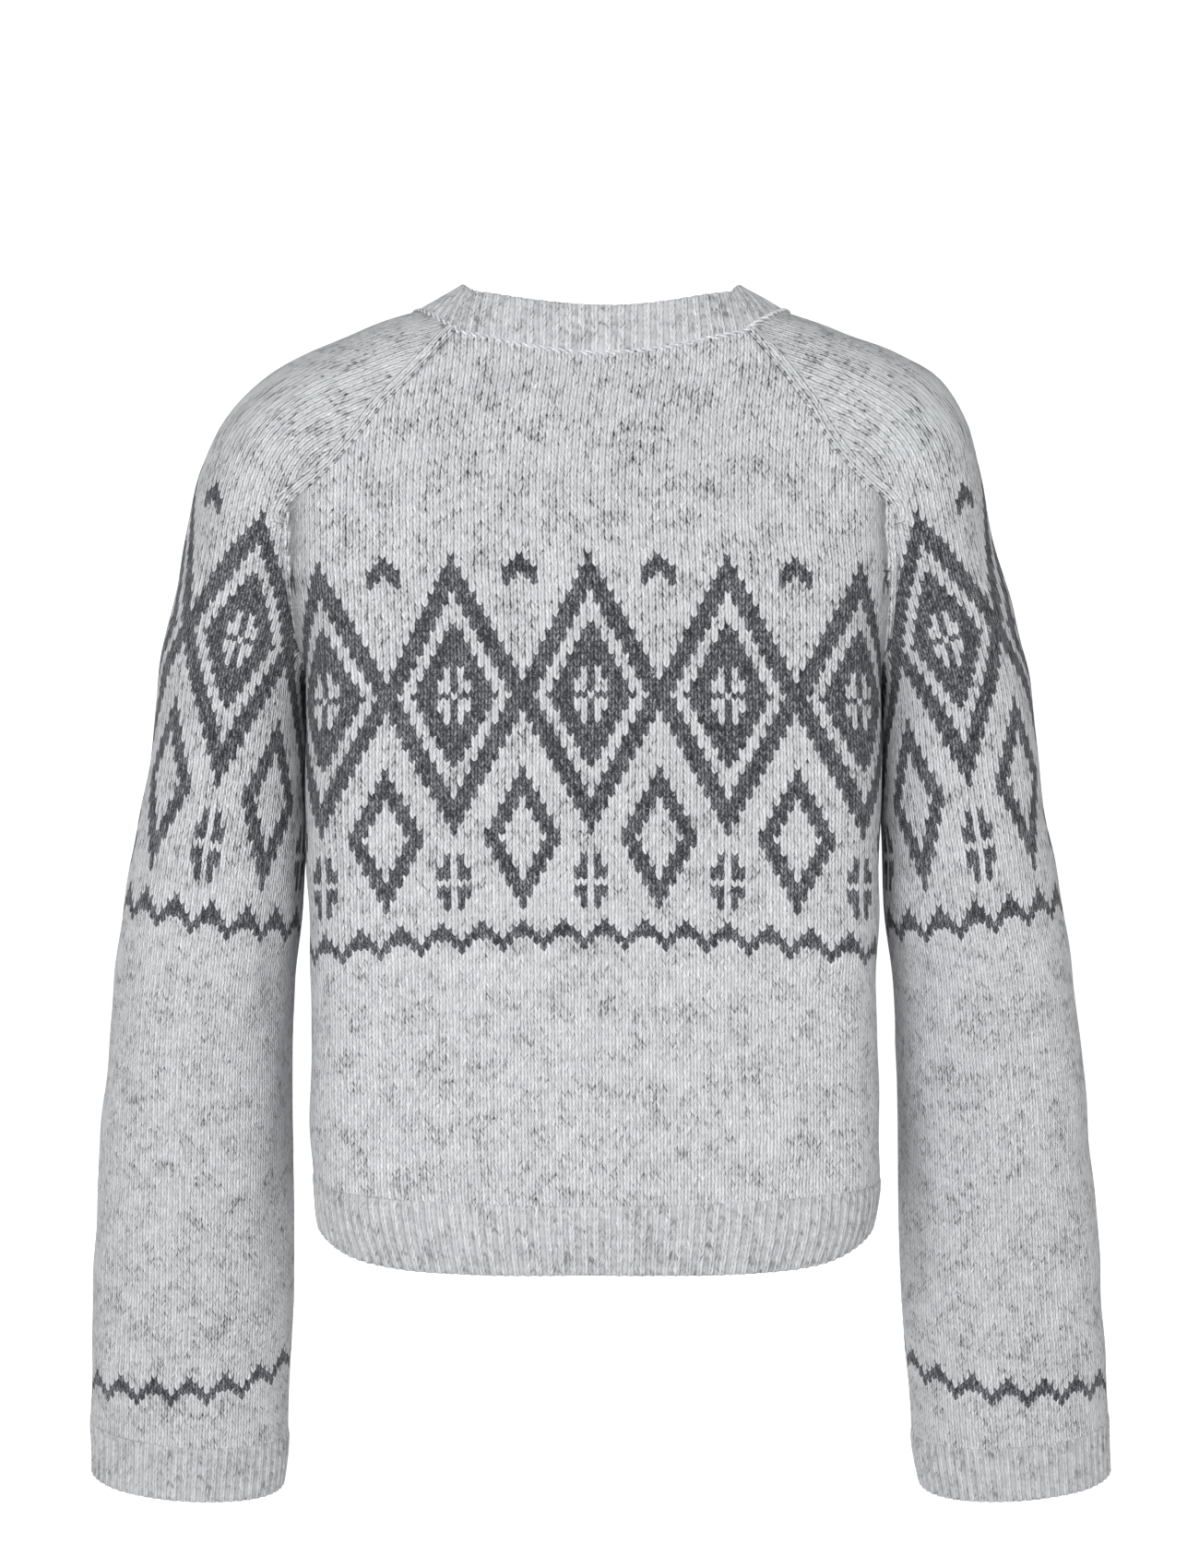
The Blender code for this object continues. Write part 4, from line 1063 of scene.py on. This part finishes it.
# ---- ribs
def ribPiece(name, node, flat, base, normal, reach, rows, ring=False, grounded=1):
    # base: few rows of points, one column for every eighth of a rib
    # grounded: which edge the ridges start from, 1 the upper, -1 the lower, 0 neither
    places = np.linspace(0, len(base) - 1, rows)
    grid, normals = (np.stack([readAt(g[:, j], places) for j in range(g.shape[1])], axis=1)
                     for g in (base, normal))
    normals = unit(normals)
    turn = np.arange(grid.shape[1]) / rib["columns"]
    crest = (0.5 - 0.5 * np.cos(2.0 * math.pi * turn)) ** 0.75
    height = rib["rise"] * (crest - 0.35)
    steps = lengthOf(np.diff(grid, axis=0)).mean(axis=1)
    up = np.concatenate([[0.0], np.cumsum(steps)])
    start = up if grounded < 0 else up[-1] - up  # distance from the seam to the panel
    grown = fade(start, -0.5, 4.5)[:, None, None] if grounded else 1.0
    outer = grid + normals * (height[None, :, None] * grown + uneven(grid)[..., None] * grown)
    marks = np.zeros(grid.shape)
    marks[..., 0] = turn[None, :]
    marks[..., 1] = (up / yarn["rowPitch"])[:, None]
    settle(clothShell(name, outer, normals, knitRib, reach, marks, ring), node, flat)


def hemGrid(edge, edgeN):
    count = int(round(lengthAlong(edge)[-1] / rib["pitch"]))
    line = onLine(np.concatenate([edge, edgeN], axis=1), np.linspace(0, 1, rib["columns"] * count + 1))
    top, normal = line[:, :3], line[:, 3:]
    angle = np.arctan2(top[:, 1], top[:, 0])
    lowZ = np.full(len(angle), cut["hemMid"])
    lowAngle = angle
    onFront = top[-1, 1] < 0.0
    if onFront:
        end = -angleForX(np.array([cut["hemMid"]]), np.array([cut["bandHalf"]]), False)[0]
        lowAngle = angle + (end - angle[-1]) * np.linspace(0.0, 1.0, len(angle)) ** 4
    for _ in range(3):
        p = bodyPoints(lowZ, lowAngle)
        depth = np.where(p[:, 1] < 0.0, column(bodyTable, 3, lowZ), column(bodyTable, 2, lowZ))
        lowZ = cut["hemMid"] + column(liftTable, 1, np.clip(np.abs(p[:, 1]) / depth, 0.0, 1.0))
    rows, normals = [], []
    for share in np.linspace(0.0, 1.0, 6):
        p = bodyPoints(lowZ * (1 - share) + top[:, 2] * share, lowAngle * (1 - share) + angle * share)
        if onFront:
            p[-1, 0] = cut["bandHalf"]
        rows.append(p)
        normals.append(slopeOf(bodyField, p))
    rows[-1] = top
    normals[-1] = normal
    return np.array(rows), np.array(normals)


hem, hemN = hemGrid(back[0], backN[0])
hemReach = (round1, round1, round2, 0)
ribPiece("hem_back", "rib_hem_back", hem, hem, hemN, hemReach, 18)
hem, hemN = hemGrid(front[0], frontN[0])
hemN = squared(hemN, -1)
ribPiece("hem_left", "rib_hem_left", hem, sink(hem, hemN), hemN, hemReach, 18)
ribPiece("hem_right", "rib_hem_right", hem, mirrored(hem), mirrored(hemN), hemReach, 18)


def neckGrid(edge, edgeN):  # half of the neckband, from the front edge to the middle of the back
    count = int(round(lengthAlong(edge)[-1] / rib["neckPitch"]))
    line = onLine(np.concatenate([edge, edgeN], axis=1), np.linspace(0.0, 1.0, rib["columns"] * count + 1))
    low, normal = line[:, :3], line[:, 3:]
    t = np.gradient(low, axis=0)[:, :2]
    inward = np.stack([-t[:, 1], t[:, 0]], axis=1)
    for _ in range(60):
        inward[1:-1] = softened(inward)
    inward = unit(inward)
    inward[0] = (0.0, 1.0)
    inward[-1] = (0.0, -1.0)
    angle = np.degrees(np.arctan2(low[:, 1], low[:, 0]))
    move = np.stack([inward[:, 0], inward[:, 1], 0.0 * angle], axis=1)
    move *= column(collarTable, 1, angle)[:, None]
    move[:, 2] = column(collarTable, 2, angle)
    grid = np.stack([low, low + move * 0.5, low + move])
    n = gridNormals(grid)
    n *= np.sign((n[0] * normal).sum(axis=-1))[None, :, None]
    n[0] = normal
    n[1] = n[1] * 0.6 + normal * 0.4
    n = unit(n)
    grid[1] += n[1] * 0.8
    return grid, n


half = back.shape[1] // 2 + 1
edge = np.concatenate([front[-1][::-1], sleeve[-1][1:], back[-1][1:half]])
edgeN = np.concatenate([frontN[-1][::-1], sleeveN[-1][1:], backN[-1][1:half]])
neck, neckN = neckGrid(edge, edgeN)
neck[:, 0, 0] = cut["bandHalf"]
neckN = squared(squared(neckN, 0), -1)
neckAll = np.concatenate([sink(neck, neckN), mirrored(neck)[:, 1:]], axis=1)
neckAllN = np.concatenate([neckN, mirrored(neckN)[:, 1:]], axis=1)
ribPiece("neck_rib", "neckband", neckAll, neckAll, neckAllN, (round1, round1, 0, round2), 14, grounded=-1)


def tubes(name, paths, radius, material, sides=6):  # yarn laid along each path, as one piece
    points, faces, total = [], [], 0
    turn = np.linspace(0, 2 * math.pi, sides + 1)[:-1]
    for path in paths:
        t = unit(np.gradient(path, axis=0))
        a = unit(np.cross(t, np.array([0.31, 0.17, 0.93])))  # no path here runs this way
        b = np.cross(t, a)
        rings = (path[:, None] + radius * (np.cos(turn)[None, :, None] * a[:, None]
                                           + np.sin(turn)[None, :, None] * b[:, None]))
        index = np.arange(len(path) * sides).reshape(len(path), sides) + total
        lower, upper = index[:-1], index[1:]
        quads = np.stack([lower, np.roll(lower, -1, 1), np.roll(upper, -1, 1), upper], axis=-1)
        points.append(rings.reshape(-1, 3))
        faces.append(quads.reshape(-1, 4))
        total += len(points[-1])
    piece = meshPiece(name, np.concatenate(points), np.concatenate(faces), material)
    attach(piece, bodyName)


# the loops that link the neckband on
chain = {"pitch": 5.2, "reach": 1.15, "rise": 0.95, "radius": 0.72}


def linkedSeam(line, normal):
    length = lengthAlong(line)
    count = int(length[-1] / chain["pitch"])
    s = np.linspace(0.0, 1.0, 8)
    paths = []
    for k in range(count):
        at = chain["pitch"] * (k + 0.2) + s * chain["pitch"] * 1.25
        middle = readLine(at, length, line)
        out = unit(readLine(at, length, normal))
        across = unit(np.cross(np.gradient(middle, axis=0), out))
        paths.append(middle + across * (chain["reach"] * np.sin((s - 0.5) * math.pi))[:, None]
                     + out * (chain["rise"] * np.sin(s * math.pi) ** 0.6 - 0.35)[:, None])
    tubes("neck_linking", paths, chain["radius"], linkMaterial())


linkedSeam(neckAll[0], neckAllN[0])


def cuffGrid(edge, edgeN):
    ring = np.concatenate([edge, edge[:1]], axis=0)
    ringN = np.concatenate([edgeN, edgeN[:1]], axis=0)
    shares = np.linspace(0.0, 1.0, rib["columns"] * rib["cuffRibs"] + 1)[:-1]
    line = onLine(np.concatenate([ring, ringN], axis=1), shares)
    top, normal = line[:, :3], unit(line[:, 3:])
    lowCentre, lowSide, lowBack = readAxis(cut["cuffEnd"])
    topCentre, topSide, topBack = readAxis(cut["cuffTop"])
    d = top - topCentre
    turn = np.arctan2(d @ topBack, d @ topSide)
    way = np.cos(turn)[:, None] * lowSide + np.sin(turn)[:, None] * lowBack
    p = cast(sleeveField, np.repeat(lowCentre[None], len(turn), axis=0), way)
    mid = 0.5 * (p + top)
    normals = np.stack([slopeOf(sleeveField, p), slopeOf(sleeveField, mid), normal])
    return np.stack([p, mid, top]), unit(normals)


cuff, cuffN = cuffGrid(sleeve[0], sleeveN[0])
for word, g, n in (("left", cuff, cuffN), ("right", mirrored(cuff), mirrored(cuffN))):
    ribPiece("cuff_rib_" + word, "cuff_" + word, cuff, g, n, (0, 0, round2, 0), 16, True)

# ---- button bands
line = np.concatenate([hem[:-1, -1], front[::4, -1], front[-1:, -1], neck[1:, 0]])
lineN = np.concatenate([hemN[:-1, -1], frontN[::4, -1], frontN[-1:, -1], neckN[1:, 0]])
lineN[:, 0] = 0.0
lineN = unit(lineN)
keep = np.concatenate([[True], lengthOf(np.diff(line, axis=0)) > 2.0])
line, lineN = line[keep], lineN[keep]
dense = onLine(np.concatenate([line, lineN], axis=1), np.linspace(0.0, 1.0, 160))
line, lineN = dense[:, :3], unit(dense[:, 3:])
xs = np.linspace(-cut["bandHalf"], cut["bandHalf"], rib["columns"] * rib["bandRibs"] + 1)
band = np.repeat(line[:, None, :], len(xs), axis=1)
band[:, :, 0] = xs[None, :]
bandN = np.repeat(lineN[:, None, :], len(xs), axis=1)
ribPiece("band_over", "band_buttonholes", band, band, bandN, (round1, round2, round2, round2),
         160, grounded=0)
ribPiece("band_under", "band_buttons", band, band - bandN * cut["bandStep"], bandN,
         (round2, round1, round2, round2), 160, grounded=0)

# ---- buttons
button = {"levels": (-84.0, -172.0, -260.0, -348.0, -436.0, -524.0), "sides": 48, "holeRadius": 1.0,
          "holeSpread": 1.9, "colour": (0.045, 0.045, 0.050), "paler": (0.13, 0.125, 0.12),
          "threadRadius": 0.24, "threadDim": (0.20, 0.205, 0.215), "threadPale": (0.42, 0.43, 0.44)}


def hornMaterial():
    board = Board("grey horn", {"Roughness": 0.32, "Coat Weight": 0.25, "Coat Roughness": 0.15})
    place = board.place()
    grain = board.noise(place, 240.0, 4.0, 0.6)
    bands = board.add("ShaderNodeTexWave", {"wave_type": "BANDS"},
                      {"Vector": place, "Scale": 60.0, "Distortion": 9.0, "Detail": 3.0})[1]
    tone = ((grain - 0.4) * 1.3 + (bands - 0.5) * 0.35).clip()
    board.feed("Base Color", board.blend(tone, button["colour"], button["paler"]))
    board.feed("Roughness", grain * 0.25 + 0.22)
    board.raised(grain, 0.0002, 0.25)
    return board.material


def threadMaterial():
    board = Board("grey sewing thread", {"Roughness": 0.8})
    twist = board.add("ShaderNodeTexWave", {"wave_type": "BANDS", "bands_direction": "DIAGONAL"},
                      {"Vector": board.place(), "Scale": 900.0})[1]
    board.feed("Base Color", board.blend(twist, button["threadDim"], button["threadPale"]))
    board.raised(twist, 0.0002, 0.5)
    return board.material


horn = hornMaterial()
sewing = threadMaterial()


def lathe(profile, sides, seat, n, right, up):
    points, faces = [], []
    for r, h in profile:
        for j in range(sides):
            t = 2.0 * math.pi * j / sides
            points.append(seat + n * h + (right * math.cos(t) + up * math.sin(t)) * r)
    for i in range(len(profile) - 1):
        for j in range(sides):
            k = (j + 1) % sides
            faces.append((i * sides + j, i * sides + k, (i + 1) * sides + k, (i + 1) * sides + j))
    faces.append(tuple(range(sides))[::-1])
    faces.append(tuple(range((len(profile) - 1) * sides, len(profile) * sides)))
    mesh = bpy.data.meshes.new("turned")
    mesh.from_pydata((lean(np.array(points)) * 0.001).tolist(), [], faces)
    return mesh


def holed(mesh, cutters, name):  # the turned button with its holes cut through
    blank = placed(name, mesh)
    tools = [placed("drill", cutter) for cutter in cutters]
    for tool in tools:
        bore = blank.modifiers.new("bore", "BOOLEAN")
        bore.operation = "DIFFERENCE"
        bore.object = tool
        bore.solver = "EXACT"
    graph = bpy.context.evaluated_depsgraph_get()
    turned = bpy.data.meshes.new_from_object(blank.evaluated_get(graph))
    blank.modifiers.clear()
    blank.data = turned
    for tool in tools:
        bpy.data.objects.remove(tool)
    return blank


def buttonPiece(number, level):
    order = np.argsort(line[:, 2])
    y = float(np.interp(level, line[order, 2], line[order, 1]))
    n = unit(np.array([0.0, np.interp(level, line[order, 2], lineN[order, 1]),
                       np.interp(level, line[order, 2], lineN[order, 2])]))
    right = np.array([1.0, 0.0, 0.0])
    up = np.cross(n, right)
    seat = np.array([0.0, y, level]) + n * (rib["rise"] * 0.65 + 0.5)
    profile = [(7.0, 0.0), (8.4, 0.3), (9.2, 0.9), (9.5, 1.6), (9.3, 2.2), (8.8, 2.65), (8.2, 2.8),
               (7.6, 2.65), (7.1, 2.3), (6.6, 2.05), (5.6, 1.95)]
    bore = [(button["holeRadius"], -1.0), (button["holeRadius"], 4.0)]
    drills = []
    for a, b in ((1, 1), (-1, 1), (-1, -1), (1, -1)):
        spot = seat + right * (button["holeSpread"] * a) + up * (button["holeSpread"] * b)
        drills.append(lathe(bore, 16, spot, n, right, up))
    piece = holed(lathe(profile, button["sides"], seat, n, right, up), drills, "horn_button_%d" % number)
    piece.data.materials.clear()
    piece.data.materials.append(horn)
    # the flat faces are the large ones
    piece.data.polygons.foreach_set("use_smooth", [f.area <= 2.0e-6 for f in piece.data.polygons])
    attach(piece, bodyName)
    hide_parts("button_%d" % number)
    s = np.linspace(-1.0, 1.0, 9)
    height = 1.1 + 1.25 * np.sqrt(np.clip(1.0 - (np.abs(s) * 0.98) ** 4, 0.0, 1.0))
    paths = [seat + right * (button["holeSpread"] * a + shift)
             + up * (s * (button["holeSpread"] + 0.15))[:, None] + n * height[:, None]
             for a in (-1, 1) for shift in (-0.35, 0.0, 0.35)]
    tubes("button_thread_%d" % number, paths, button["threadRadius"], sewing)


for number, level in enumerate(button["levels"], 1):
    buttonPiece(number, level)
print("buttons made")

# ---- room, lights and camera
room = {"floor": -0.80, "backWall": -4.4, "top": 5.0, "bend": 1.2, "width": 9.0, "front": 6.0,
        "white": 0.80, "glow": 0.50,
        "darkPart": 0.42, "darkGlow": 0.12}   # the paper in front of the garment, out of the picture


def roomPiece():
    profile = [(room["front"], room["floor"])]
    for t in np.radians(range(0, 91, 6)).tolist():
        profile.append((room["backWall"] + room["bend"] - room["bend"] * math.sin(t),
                        room["floor"] + room["bend"] - room["bend"] * math.cos(t)))
    profile.append((room["backWall"], room["top"]))
    half = room["width"] * 0.5
    points = [(side * half, y, z) for y, z in profile for side in (-1, 1)]
    faces = [(2 * k, 2 * k + 1, 2 * k + 3, 2 * k + 2) for k in range(len(profile) - 1)]
    mesh = bpy.data.meshes.new("studio_cove")
    mesh.from_pydata(points, [], faces)
    mesh.polygons.foreach_set("use_smooth", [True] * len(mesh.polygons))
    # the paper glows with light of its own, painted light: brighter behind the garment, dimmer on the floor
    # in front
    board = Board("glowing white paper", {"Roughness": 1.0, "Emission Strength": 1.0, "Specular IOR Level": 0.0})
    back = ((board.parts(board.place())[1] - 0.25) * -1.7).clip()
    grey = [(room[key],) * 3 for key in ("darkPart", "white", "darkGlow", "glow")]
    board.feed("Base Color", board.blend(back, grey[0], grey[1]))
    board.feed("Emission Color", board.blend(back, grey[2], grey[3]))
    mesh.materials.append(board.material)
    placed("studio_cove", mesh)


roomPiece()

# each lamp: place, size and power
light = {"key": (0.7, 2.5, 0.1, 1.6, 58.0), "fill": (-1.6, 2.6, -0.1, 2.2, 34.0),
         "far": (0.8, -2.8, 0.3, 1.8, 40.0), "world": 0.47}


def lamp(name, x, y, z, size, power):
    data = bpy.data.lights.new(name, "AREA")
    data.size = size
    data.energy = power
    ob = placed(name, data)
    ob.location = (x, y, z)
    ob.rotation_euler = (Vector((0.0, 0.0, -0.33)) - Vector((x, y, z))).to_track_quat("-Z", "Y").to_euler()
    ob.visible_camera = False


for name in ("key", "fill", "far"):
    lamp(name + " light", *light[name])
world = bpy.data.worlds.new("studio air")
world.use_nodes = True
air = world.node_tree.nodes["Background"].inputs
air["Color"].default_value = (1.0, 1.0, 1.0, 1.0)
air["Strength"].default_value = light["world"]
bpy.context.scene.world = world
bpy.context.scene.view_settings.view_transform = "Standard"

view = {"place": (-0.003, 2.1, -0.282), "lens": 85.52}
camera = bpy.data.cameras.new("camera")
camera.lens = view["lens"]
camera.sensor_width = 36.0
camera.clip_end = 30.0
cameraOb = placed("camera", camera)
cameraOb.location = view["place"]
cameraOb.rotation_euler = (math.radians(90.0), 0.0, math.radians(180.0))
bpy.context.scene.camera = cameraOb
print("lights and camera set")
